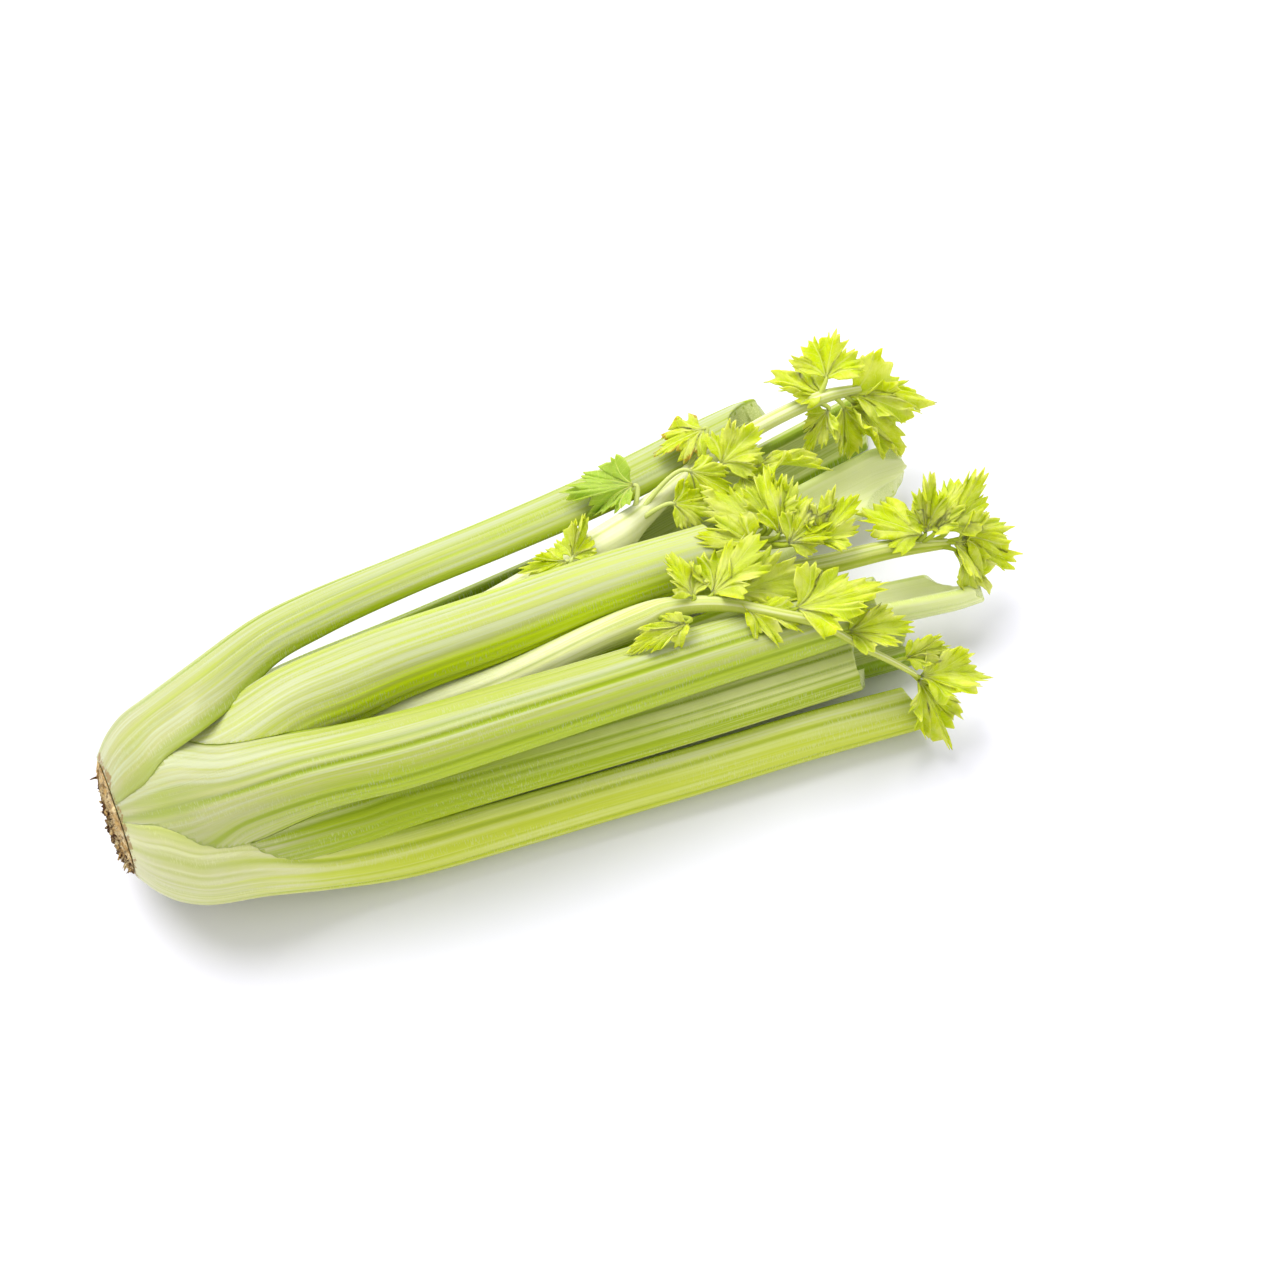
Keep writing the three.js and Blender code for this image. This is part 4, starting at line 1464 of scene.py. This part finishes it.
def rod(points: Array, radii: Array, sides: int, masks: Sequence[str]) -> Surface:
    """Sweep a round rod along a line of points.

    Args:
        points: The line.
        radii: The rod's radius at each of its points.
        sides: Points round it.
        masks: Names of the masks that it carries, all at 0.

    Returns:
        The closed rod.
    """
    tangent = np.gradient(points, axis=0)
    tangent /= np.linalg.norm(tangent, axis=1)[:, None]
    side = np.cross(tangent[0], (0.0, 0.0, 1.0) if abs(tangent[0][2]) < 0.9 else (0.0, 1.0, 0.0))
    rings = []
    turn = np.linspace(0, 2 * np.pi, sides, endpoint=False)
    for point, along, radius in zip(points, tangent, radii):
        side = side - along * np.dot(side, along)
        side /= np.linalg.norm(side)
        other = np.cross(along, side)
        rings.append(point + radius * (np.cos(turn)[:, None] * side + np.sin(turn)[:, None] * other))
    flat, faces = closed_tube(rings, points[0], points[-1])
    run = np.append(0, np.cumsum(np.linalg.norm(np.diff(points, axis=0), axis=1)))
    lay = np.stack([np.tile(turn * radii.mean(), len(points)), np.repeat(points[0, 0] + run, sides)], -1)
    lay = np.concatenate([lay, [[0, points[0, 0]], [0, points[0, 0] + run[-1]]]])
    return Surface(flat, faces, lay, {name: np.zeros(len(flat)) for name in masks}).outward()


@dataclass
class LeafyStem:
    """A leafy stem from the heart: its petiole, its slim rachis, and its leaflets on their stalks.

    path gives [x, y, z, radius, half span, outward angle], a petiole as far as node and a rachis beyond it.
    A leaflet is [x where its stalk leaves the stem, x, y, z of its foot, heading, pitch, length, width,
    roll], and tints gives [green, worn] of those that aren't plain, by their place in the list.
    """

    name: str
    node: float
    path: Keys
    leaflets: Keys
    seed: int
    finish: StalkFinish
    leaf_finish: LeafFinish
    tints: dict[int, tuple[float, float]]

    # A leaf stalk's radius at the stem and at the leaf, how far it goes on inside the blade, and its end
    LEAF_STALK = (1.1, 0.75)
    LEAF_STALK_INSIDE = 1.6
    LEAF_STALK_END = 0.3
    LEAF_STALK_BOW = 0.2
    LEAF_STALK_SIDES = 9
    STALK_STEPS = 10
    PLAIN_TINT = (0.0, 0.25)
    SEEDS_APART = 40

    def petiole(self) -> Petiole:
        """Work out the stem's sections, which close to a round rod beyond the node."""
        keys = []
        for x, y, z, radius, span, angle in self.path:
            wall = radius * (RACHIS_WALL if x > self.node else PETIOLE_WALL)
            keys.append((x, y, z, radius, span, wall, wall * STEM_EDGE, angle))
        return Petiole(
            Track(keys), STEM_RIBS, STEM_RIB_DEPTH, Detail.SLIM, (0.0, 0.0), self.seed,
            rib_share=STEM_RIB_SHARE,
        )

    def leaf_stalk(self, leaf: Leaflet, stem: Petiole) -> Surface:
        """Build the thin stalk that carries a leaflet.

        Args:
            leaf: The leaflet.
            stem: The stem that it grows from.

        Returns:
            A tapering rod from inside the stem to the blade's foot.
        """
        midrib, _, _ = leaf.directions()
        foot = np.array(leaf.foot)
        start = np.append(leaf.stem_x, stem.track.at(np.array([leaf.stem_x]))[0, 1:3])
        bow = foot - midrib * self.LEAF_STALK_BOW * np.linalg.norm(foot - start)
        t = np.linspace(0, 1, self.STALK_STEPS)[:, None]
        line = (1 - t) ** 2 * start + 2 * t * (1 - t) * bow + t * t * foot
        line = np.concatenate([line, [foot + midrib * self.LEAF_STALK_INSIDE]])
        thick, thin = self.LEAF_STALK
        radii = np.append(thick + (thin - thick) * t[:, 0], self.LEAF_STALK_END)
        return rod(line, radii, self.LEAF_STALK_SIDES, STALK_MASKS)

    def build(
        self, cutters: Sequence[bpy.types.Object], stalks: Sequence[Petiole]
    ) -> list[bpy.types.Object]:
        """Build and dress the stem and its leaves.

        Args:
            cutters: The outer neighbours, a gap larger than they are.
            stalks: The same neighbours, for the leaves to lie on.

        Returns:
            The stem and its leaves.
        """
        stem = self.petiole()
        leaves = []
        for i, (x, fx, fy, fz, *size_and_turn) in enumerate(self.leaflets):
            tint, worn = self.tints.get(i, self.PLAIN_TINT)
            heading, pitch, length, width, roll = size_and_turn
            seed = self.seed * self.SEEDS_APART + i
            leaves.append(Leaflet(x, (fx, fy, fz), heading, pitch, length, width, roll, tint, worn, seed))
        piece = stem.surface().to_object(self.name + "_stem")
        trim(piece, cutters)
        piece.data.set_sharp_from_angle(angle=SHARP_ANGLE)
        leaf_stalks = Surface.joined([self.leaf_stalk(leaf, stem) for leaf in leaves])
        carried = leaf_stalks.to_object(self.name + "_leaf_stalks")
        blades = Surface.joined([leaf.surface(stalks) for leaf in leaves]).to_object(self.name + "_leaves")
        finish = self.finish.build(self.name + "_finish")
        leaf_finish = self.leaf_finish.build(self.name + "_leaf_finish")
        for made, material in ((piece, finish), (carried, finish), (blades, leaf_finish)):
            finish_piece(made, self.name, material)
        return [piece, carried, blades]


@dataclass
class RootCrown:
    """The dry cut disc under the stalks, with frayed fibres and the stubs of trimmed rootlets."""

    name: str = "root_crown"
    radius: float = 21.6
    least: float = 1.3
    most: float = 2.8
    core: float = 10.0
    core_tip: float = -38.0
    sides: int = 160
    rings: int = 22
    rootlets: int = 84
    seed: int = 7

    # X of the back face, against the stalks
    FACE = ROOT_X - GAP

    def thickness(self, turn: Array) -> Array:
        """Find how thick the crown is in a direction: thin above, and thicker where the roots are below."""
        low = (0.5 - 0.5 * np.sin(turn + 0.25)) * (1 + 0.3 * np.sin(9 * turn) * np.sin(5 * turn + 1))
        return self.least + (self.most - self.least) * low

    @staticmethod
    def ring(x: Array | float, reach: Array | float, turn: Array) -> Array:
        """Place a ring of points round the head's axis, at a distance from it and in radians round it."""
        along = np.broadcast_to(x, turn.shape)
        return np.stack([along, reach * np.cos(turn), AXIS_Z + reach * np.sin(turn)], -1)

    def disc(self) -> Surface:
        """Build the ragged, shallow dome and the short core in front of it.

        Returns:
            The closed surface, with its masks hollow and soil.
        """
        drawn = np.random.default_rng(self.seed)
        turn = np.linspace(0, 2 * np.pi, self.sides, endpoint=False)
        waves = drawn.uniform(0, 2 * np.pi, 16)
        ragged = sum(np.sin((4 + 5 * k) * turn + waves[k]) / (1 + 0.6 * k) for k in range(5)) / 2
        ragged = ragged + drawn.uniform(-0.35, 0.35, self.sides)
        edge = self.radius - 0.9 + 1.1 * np.clip(ragged, -1.8, 0.9)
        thick = self.thickness(turn)
        rings, hollows, soils = [], [], []
        for share in np.linspace(1 / self.rings, 1, self.rings):
            r = edge * share
            bumps = 0
            for k in range(6):
                wave = np.sin((2 + 3 * k) * turn + waves[k + 5] + 0.4 * r * (1 + k % 3))
                bumps = bumps + wave * np.cos(0.8 * r + waves[k + 10])
            clumps = 0.6 + 0.4 * eased(4.0, -8.0, r * np.sin(turn))
            lift = clumps * (bumps / 3.0 + drawn.uniform(-0.8, 0.8, self.sides)) * (1 - share**16)
            x = self.FACE - 0.25 - (thick - 0.25) * (1 - share**3) - 1.3 * lift
            rings.append(self.ring(np.clip(x, CROWN_TIP, self.FACE - 0.1), r, turn))
            hollows.append(np.clip(0.35 - 0.9 * lift, 0, 1))
            soils.append(eased(6, -6, r * np.sin(turn)) * (0.85 + 0.15 * hollows[-1]))
        core = self.core
        for x, reach in (
            (self.FACE, edge - 0.2), (self.FACE, core + 5), (ROOT_X + 3, core), (ROOT_X + 9, core),
            (self.core_tip - 4, core * 0.6), (self.core_tip, 0.6),
        ):
            rings.append(self.ring(x, reach, turn))
            hollows.append(np.full(self.sides, 0.3))
            soils.append(np.full(self.sides, 0.2))
        front = rings[0][:, 0].mean()
        points, faces = closed_tube(rings, (front, 0, AXIS_Z), (self.core_tip + 0.2, 0, AXIS_Z))
        masks = {
            "hollow": np.append(np.concatenate(hollows), [0.3, 0.3]),
            "soil": np.append(np.concatenate(soils), [0.5, 0.2]),
        }
        return Surface(points, faces, points[:, 1:3].copy(), masks).outward()

    def fibres(self) -> list[Surface]:
        """Build the rootlet stubs and the frayed fibres, most of them in the lower half.

        Returns:
            One closed rod for each.
        """
        drawn = np.random.default_rng(self.seed + 1)
        made = []
        for i in range(self.rootlets):
            low = i % 3 != 0
            turn = drawn.uniform(math.pi * 1.05, math.pi * 1.95) if low else drawn.uniform(0, 2 * math.pi)
            reach = (self.radius - 1.2) * math.sqrt(drawn.uniform(0.35, 1.0))
            outward = np.array([0, math.cos(turn), math.sin(turn)])
            thick = float(self.thickness(np.array(turn))) * (1 - (reach / self.radius) ** 3)
            foot = np.array([self.FACE - 0.3 - 0.6 * thick, 0, AXIS_Z]) + reach * outward
            length = drawn.uniform(0.8, 3.2) if low else drawn.uniform(0.5, 1.4)
            away = np.array([-1.0, 0, 0]) + drawn.uniform(0.2, 1.3) * outward
            tip = foot + length * away / np.linalg.norm(away) + drawn.uniform(-0.8, 0.8, 3)
            bend = (foot + tip) / 2 + drawn.uniform(-0.9, 0.9, 3)
            t = np.linspace(0, 1, 7)[:, None]
            line = (1 - t) ** 2 * foot + 2 * t * (1 - t) * bend + t * t * tip
            line[:, 0] = np.clip(line[:, 0], CROWN_TIP, self.FACE - 0.3)
            radius = drawn.uniform(0.2, 1.15) ** 1.5 if low else drawn.uniform(0.15, 0.4)
            fibre = rod(line, radius * (1 - 0.75 * t[:, 0]), 6, ("hollow", "soil"))
            fibre.masks["soil"] += drawn.uniform(0.0, 1.0) if low else 0.05
            made.append(fibre)
        return made

    def build(self) -> bpy.types.Object:
        """Build and dress the root crown.

        Returns:
            The finished piece.
        """
        piece = Surface.joined([self.disc(), *self.fibres()]).to_object(self.name + "_fine")
        finish_piece(piece, self.name, CrownFinish().build(self.name + "_finish"))
        return piece


@dataclass
class Head:
    """The whole head of celery."""

    crown: RootCrown
    stalks: list[Stalk]
    stems: list[LeafyStem]

    def build(self) -> None:
        """Build every piece, outermost first, each trimmed by those outside it."""
        self.crown.build()
        cutters: list[bpy.types.Object] = []
        walls: list[Petiole] = []
        for stalk in self.stalks:
            stalk.build(cutters)
            walls.append(stalk.petiole())
            cutters.append(walls[-1].surface(SEAM).to_object(stalk.name + "_cutter"))
        for stem in self.stems:
            stem.build(cutters, walls)
            cutters.append(stem.petiole().surface(GAP).to_object(stem.name + "_cutter"))
        for cutter in cutters:
            mesh = cutter.data
            bpy.data.objects.remove(cutter)
            bpy.data.meshes.remove(mesh)


PALE = StalkFinish()
GREEN = StalkFinish(
    root=toned(178, 178, 122), body=toned(182, 191, 98), tip=toned(180, 191, 92),
    side=toned(176, 198, 0), crest=toned(190, 197, 156), side_share=1.0,
)
SHADED = StalkFinish(
    tip=toned(200, 207, 124), crease=toned(160, 180, 0), side=toned(192, 214, 0), side_share=1.0,
)
SUNLIT = StalkFinish(
    root=toned(214, 213, 166), body=toned(214, 221, 122), tip=toned(210, 219, 120),
    crease=toned(168, 186, 0), crest=toned(222, 226, 168), side=toned(196, 208, 40),
)
# A darker, saturated copy of the stalk finish for the low stalks underneath: painted shade
SHADE_DARKENED = StalkFinish(
    body=toned(162, 182, 16), tip=toned(184, 193, 96), crease=toned(124, 152, 0),
    side=toned(148, 174, 0), crest_share=0.45, tip_at=200.0,
)
# A copy of the stalk finish for the stalk under its neighbour's shadow: dark, saturated body as painted
# shadow, pale tip
IN_SHADOW = StalkFinish(
    body=toned(154, 174, 0), tip=toned(218, 224, 146), crease=toned(132, 156, 0),
    crest=toned(206, 212, 150), side=toned(160, 180, 0), crest_share=0.35, crease_share=0.5,
    side_share=1.0, tip_at=190.0,
)
WATERY = StalkFinish(
    root=toned(214, 218, 150), body=toned(224, 230, 156), tip=toned(238, 243, 186),
    crease=toned(196, 212, 100), crest=toned(238, 242, 192), side=toned(218, 228, 128),
    groove=toned(242, 246, 196), pulp=toned(232, 238, 176),
    crease_share=0.4, side_share=0.45, roughness=0.22,
)
YELLOW = StalkFinish(
    root=toned(226, 226, 182), body=toned(206, 211, 124), tip=toned(202, 208, 112),
    crease=toned(160, 178, 10), crest=toned(222, 225, 172), side=toned(180, 194, 24),
    stipple=0.1, side_share=0.6, blanched_to=80.0, green_from=170.0, lined_at_root=1.0,
)
WHITE = StalkFinish(
    root=toned(234, 234, 192), body=toned(222, 226, 160), tip=toned(210, 217, 128),
    crease=toned(184, 198, 70), crest=toned(236, 238, 200), side=toned(206, 214, 100),
    stipple=0.1, crease_share=0.65, side_share=0.5,
    blanched_to=160.0, green_from=215.0, tip_at=260.0, lined_at_root=1.0,
)
LEAF = LeafFinish()


def stalks_of_head() -> list[Stalk]:
    """List the cut stalks, outermost first."""
    return [
        Stalk("stalk_far_side", 45, 0, (66, 52, 66), (-1, 0.4), (
            (-20, 11.5, 53, 26.5, 46), (8, 36, 50.5, 15.6, 48), (30, 45, 47.5, 12.8, 46),
            (67, 52.5, 42, 12, 42), (108, 57.5, 39.5, 12, 42), (150, 63, 38, 12.4, 42),
            (194, 71, 37, 12.6, 40), (210, 74, 36.5, 12.2, 38)), GREEN, seed=11, ragged=0.7),
        Stalk("stalk_floor_middle", 272, 0, (60, 58, 64), (0.1, -0.2), (
            (-20, -2, 24.6, 26, 271), (8, 0.5, 17.3, 18.8, 270), (36, 2.5, 12.6, 14, 270),
            (100, 6, 10.9, 11.8, 270), (160, 8, 10.8, 11.4, 270), (214, 10, 10.7, 11.2, 270)),
            PALE, Detail.TUCKED, seed=12),
        Stalk("stalk_near_floor", 206, 0, (80, 68, 80), (0.1, 0.4), (
            (-20, -17.5, 33.5, 25.5, 205), (4, -27, 22, 17, 203), (32, -31.5, 14.6, 14.6, 200),
            (69, -34.5, 13.2, 13.7, 195), (107, -36.5, 12.9, 13.4, 194), (146, -38.5, 12.8, 13.3, 195),
            (185, -40, 12.7, 13.2, 195), (227, -43, 12.2, 12.7, 195)), SUNLIT, seed=13),
        Stalk("stalk_top_near", 130, 0.5, (58, 62, 62), (0.1, -0.6), (
            (-20, -12, 52.7, 22.8, 130), (6, -20, 62, 15.2, 128), (39, -25, 64, 13.8, 126),
            (76, -26.5, 64, 12.9, 124), (114, -26.5, 62, 12, 122), (153, -25.5, 59, 11.5, 120),
            (192, -24.5, 55, 11, 118), (226, -23, 51, 10, 118)), PALE, seed=14),
        Stalk("stalk_floor_far", 338, 1, (60, 60, 64), (0, 0.3), (
            (-20, 9, 35, 22, 337), (14, 32, 21.5, 15.4, 336), (63, 45, 11.9, 12.9, 330),
            (104, 50, 11.5, 12.4, 328), (150, 56, 11.2, 12.1, 328), (191, 64, 11.1, 12, 328),
            (236, 73, 10.9, 11.8, 328), (264, 79, 10.7, 11.6, 328)), SHADE_DARKENED, Detail.TUCKED, seed=15),
        Stalk("stalk_floor_near", 243, 1, (54, 54, 60), (0.1, -0.35), (
            (-20, -10, 28, 22, 246), (18, -12, 16, 13.6, 252), (60, -11.5, 11.9, 12, 262),
            (120, -12.5, 11.2, 11.5, 262), (180, -14.5, 11.2, 11.4, 262), (242, -18, 11.2, 11.2, 262)),
            SHADE_DARKENED, Detail.TUCKED, seed=16),
        Stalk("stalk_top_far", 84, 1, (60, 62, 76), (-0.1, -0.1), (
            (-20, -3, 52.2, 22.5, 84), (8, 4, 61.8, 17, 88), (30, 7.5, 62.8, 15.4, 91),
            (52, 10, 62.8, 14.4, 93), (92, 12, 61.2, 13.6, 93), (131, 15, 59, 12.4, 92),
            (174, 15.5, 57.5, 11.2, 90)), SHADED, seed=17),
        Stalk("stalk_near_side", 174, 1.2, (52, 54, 60), (0.2, -0.3), (
            (-20, -17, 40.5, 21.5, 175), (18, -26, 40, 14.5, 176), (36, -27.5, 39.5, 12.8, 176),
            (73, -29.5, 38.6, 11.8, 176), (111, -31, 37.4, 11.5, 176), (150, -32, 36, 11.4, 176),
            (191, -31.5, 32.5, 11.2, 174), (213, -31, 30, 11, 172)), IN_SHADOW, seed=18),
        Stalk("stalk_floor_inner", 312, 2, (50, 50, 58), (0.5, 1.1), (
            (-20, 3, 31.5, 19, 308), (15, 20, 17, 14.5, 302), (60, 25, 12.5, 12.2, 300),
            (120, 29, 11.8, 11.7, 298), (180, 36, 12.4, 11.7, 296), (226, 44, 16, 11.6, 292),
            (256, 48, 19, 11.2, 290)), WATERY, Detail.TUCKED, seed=19, ragged=1.0, slot="heart_stalk"),
        Stalk("stalk_inner", 215, 3, (56, 56, 60), (-0.5, 0.9), (
            (-20, -8, 38.5, 16, 212), (20, -6, 40, 12.5, 210), (60, -6, 38, 11.4, 215),
            (110, -6, 37, 11.2, 220), (150, -6.5, 36, 11, 225), (220, -8, 30, 10.8, 235),
            (260, -9, 23, 10.4, 240)), WATERY, Detail.TUCKED, seed=20, ragged=0.9, slot="heart_stalk"),
    ]


def leafy_stems_of_head() -> list[LeafyStem]:
    """List the leafy stems of the heart."""
    return [
        LeafyStem("leafy_stem_far", 150, (
            (-44, 5, 45, 6, 110, 50), (-10, 6, 48, 7.5, 110, 50), (60, 20, 48, 8, 110, 60),
            (120, 33, 48.5, 8, 112, 70), (146, 39, 50, 8, 125, 75), (158, 45, 50.5, 5.4, 150, 80),
            (186, 58.5, 49.5, 3.4, 165, 80), (214, 66.5, 50, 3.1, 165, 80), (242, 72.5, 46.5, 2.7, 165, 80),
            (258, 72.5, 44, 2, 165, 80)), (
            (240, 243, 72, 48, 140, 10, 25, 24, 10), (240, 245, 76, 52, 57, 40, 20, 27, -20),
            (250, 252, 71, 45, -11, -8, 38, 26, 5), (250, 253, 69, 43, -42, -42, 36, 27, 10),
            (246, 249, 68, 43, -80, -62, 27, 24, 0), (238, 243, 68, 44, -150, -35, 20, 17, 0),
            (150, 178, 50, 62, -49, -6, 21, 18, 20), (178, 190, 48, 62, 20, 22, 22, 24, 20),
            (186, 202, 45, 58, 0, -8, 34, 18, -10), (180, 196, 44, 57, -57, 4, 24, 20, 0),
            (150, 168, 41, 58, -28, 0, 18, 17, 10), (118, 124, 29, 62, 49, 14, 20, 15, 30),
            (118, 122, 29, 62, 175, 6, 18, 13, -25), (150, 158, 53, 59, 163, -2, 28, 22, -15),
            (176, 192, 68, 58, -177, 2, 22, 22, 15)), 1, WHITE, LEAF,
            {13: (1.0, 0.0), 12: (0.0, 0.7), 14: (0.0, 0.95)}),
        LeafyStem("leafy_stem_near", 140, (
            (-44, -7, 43, 5.5, 110, 130), (-10, -7, 49, 6.5, 110, 125), (40, -6, 53.5, 6.2, 110, 120),
            (83, -7, 56.5, 6, 112, 110), (122, -5, 61, 6, 120, 100), (138, -4.5, 62, 6, 135, 95),
            (148, -5.5, 65.4, 4.2, 150, 90), (164, -12.5, 69.4, 3, 165, 90),
            (182, -24.5, 70.2, 2.4, 165, 90),
            (196, -32, 66.2, 2.2, 165, 90), (209, -41, 56.4, 2, 165, 90), (219, -45, 47, 1.8, 165, 90),
            (229, -47.5, 35, 1.6, 165, 90)), (
            (140, 150, -20, 77, -175, -4, 26, 12, 0), (148, 157, -8, 71.5, 99, 24, 20, 16, 20),
            (148, 163, -9.5, 71.5, 28, 22, 31, 27, -15), (156, 170, -11, 70.5, 0, 6, 34, 28, 15),
            (176, 189, -25, 70, -4, 4, 36, 30, 10), (196, 205, -35, 60, -12, -2, 28, 20, 20),
            (164, 172, -19, 71, -36, 2, 22, 18, -10), (226, 230, -48, 34, -8, -14, 32, 22, 15),
            (226, 229, -48, 33, -66, -46, 34, 22, 0), (220, 226, -42, 40, 0, -8, 22, 12, 10)),
            2, YELLOW, LEAF, {}),
        LeafyStem("leafy_stem_right", 150, (
            (-44, 0, 36, 5.5, 110, 50), (-10, 2, 41, 6, 110, 55), (40, 4, 47, 5.2, 110, 60),
            (86, 6, 47.5, 5, 112, 70), (143, 8, 50, 4.6, 130, 80), (181, 5, 50.5, 4.2, 160, 80),
            (211, 1, 49, 4, 165, 80), (240, 1, 44, 3.6, 165, 80), (262, -2, 40, 2, 165, 80)), (
            (244, 252, 1, 46, 133, 14, 28, 28, 5), (246, 253, 1, 47, 65, 42, 25, 18, 15),
            (248, 256, 0, 47, 38, 44, 22, 14, -15), (250, 262, 1, 43, 37, 18, 30, 24, 15),
            (254, 263, -3, 41, -20, -24, 32, 26, 20), (254, 263, -5, 39, -28, -46, 30, 20, 0),
            (256, 266, -2, 41, 8, -10, 28, 24, 10)), 3, YELLOW, LEAF, {}),
        LeafyStem("leafy_stem_heart", 160, (
            (-44, -5, 50, 5, 110, 60), (-10, 3, 38, 5.5, 110, 45), (60, 15, 33, 6, 110, 35),
            (120, 20, 36, 6, 112, 40), (156, 23, 44, 5, 130, 60), (176, 20, 54, 3.6, 160, 80),
            (194, 10, 61, 2.6, 165, 90), (206, 4, 64, 1.6, 165, 90)), (
            (186, 194, 15, 64, 124, 12, 30, 25, 10), (190, 197, 15, 64, 78, 22, 24, 22, -10),
            (200, 209, 2, 63, 29, 10, 26, 22, 10), (194, 198, 4, 66, 14, 12, 24, 20, 25),
            (184, 188, 8, 66, 158, 14, 24, 24, -20), (190, 197, 9, 66, 52, 24, 24, 22, 15)),
            4, YELLOW, LEAF, {}),
    ]


@dataclass(frozen=True)
class Studio:
    """The camera, the plain pale floor and the soft light."""

    azimuth: float = -21.5
    elevation: float = 58.0
    distance: float = 1.3
    target: tuple[float, float, float] = (0.1398, 0.0015, 0.0385)
    lens: float = 100.0
    floor_size: float = 12.0
    # [name, azimuth, elevation, strength, width in degrees]
    lamps: tuple[tuple[str, float, float, float, float], ...] = (
        ("key", -162.0, 60.0, 3.05, 46.0),
        ("fill", 30.0, 42.0, 0.7, 90.0),
    )
    sky_strength: float = 0.57

    @staticmethod
    def towards(azimuth: float, elevation: float) -> Vector:
        """Find a direction from the head, in degrees from the near side to the leaf end and in degrees up."""
        around, above = math.radians(azimuth), math.radians(elevation)
        return Vector((
            math.sin(around) * math.cos(above), -math.cos(around) * math.cos(above), math.sin(above)
        ))

    @staticmethod
    def aim(piece: bpy.types.Object, back: Vector) -> None:
        """Turn a camera or a lamp to look away from a direction."""
        piece.rotation_mode = "QUATERNION"
        piece.rotation_quaternion = (-back).to_track_quat("-Z", "Y")

    def add_camera(self) -> None:
        """Add the camera at its place round the head."""
        back = self.towards(self.azimuth, self.elevation)
        camera = bpy.data.cameras.new("camera")
        camera.lens = self.lens
        camera.sensor_width = 36.0
        camera.clip_start = 0.05
        camera.clip_end = 50.0
        holder = linked("camera", camera)
        holder.location = Vector(self.target) + back * self.distance
        self.aim(holder, back)
        bpy.context.scene.camera = holder

    def add_floor(self) -> None:
        """Add the plain pale floor."""
        half = self.floor_size / 2
        mesh = bpy.data.meshes.new("floor")
        corners = [(-half, -half, 0), (half, -half, 0), (half, half, 0), (-half, half, 0)]
        mesh.from_pydata(corners, [], [(0, 1, 2, 3)])
        floor = linked("floor", mesh)
        mesh.materials.append(FloorFinish().build("floor_finish"))

    def add_light(self) -> None:
        """Add a wide soft light from the far left, a weak one from the near side and an even sky."""
        for name, azimuth, elevation, strength, width in self.lamps:
            sun = bpy.data.lights.new(name, "SUN")
            sun.energy = strength
            sun.angle = math.radians(width)
            self.aim(linked(name, sun), self.towards(azimuth, elevation))
        world = bpy.data.worlds.new("sky")
        world.use_nodes = True
        sky = world.node_tree.nodes["Background"]
        sky.inputs["Color"].default_value = (1.0, 1.0, 1.0, 1.0)
        sky.inputs["Strength"].default_value = self.sky_strength
        bpy.context.scene.world = world

    def build(self) -> None:
        """Set the stage."""
        self.add_camera()
        self.add_floor()
        self.add_light()
        bpy.context.scene.view_settings.view_transform = "Standard"


def write_sizes() -> None:
    """Bring the view layer up to date."""
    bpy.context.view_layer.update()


def main() -> None:
    """Set the stage and build the head."""
    logging.basicConfig(level=logging.INFO, format="%(message)s", force=True)
    Studio().build()
    build_shared_groups()
    Head(RootCrown(), stalks_of_head(), leafy_stems_of_head()).build()
    write_sizes()


if __name__ == "__main__":
    main()
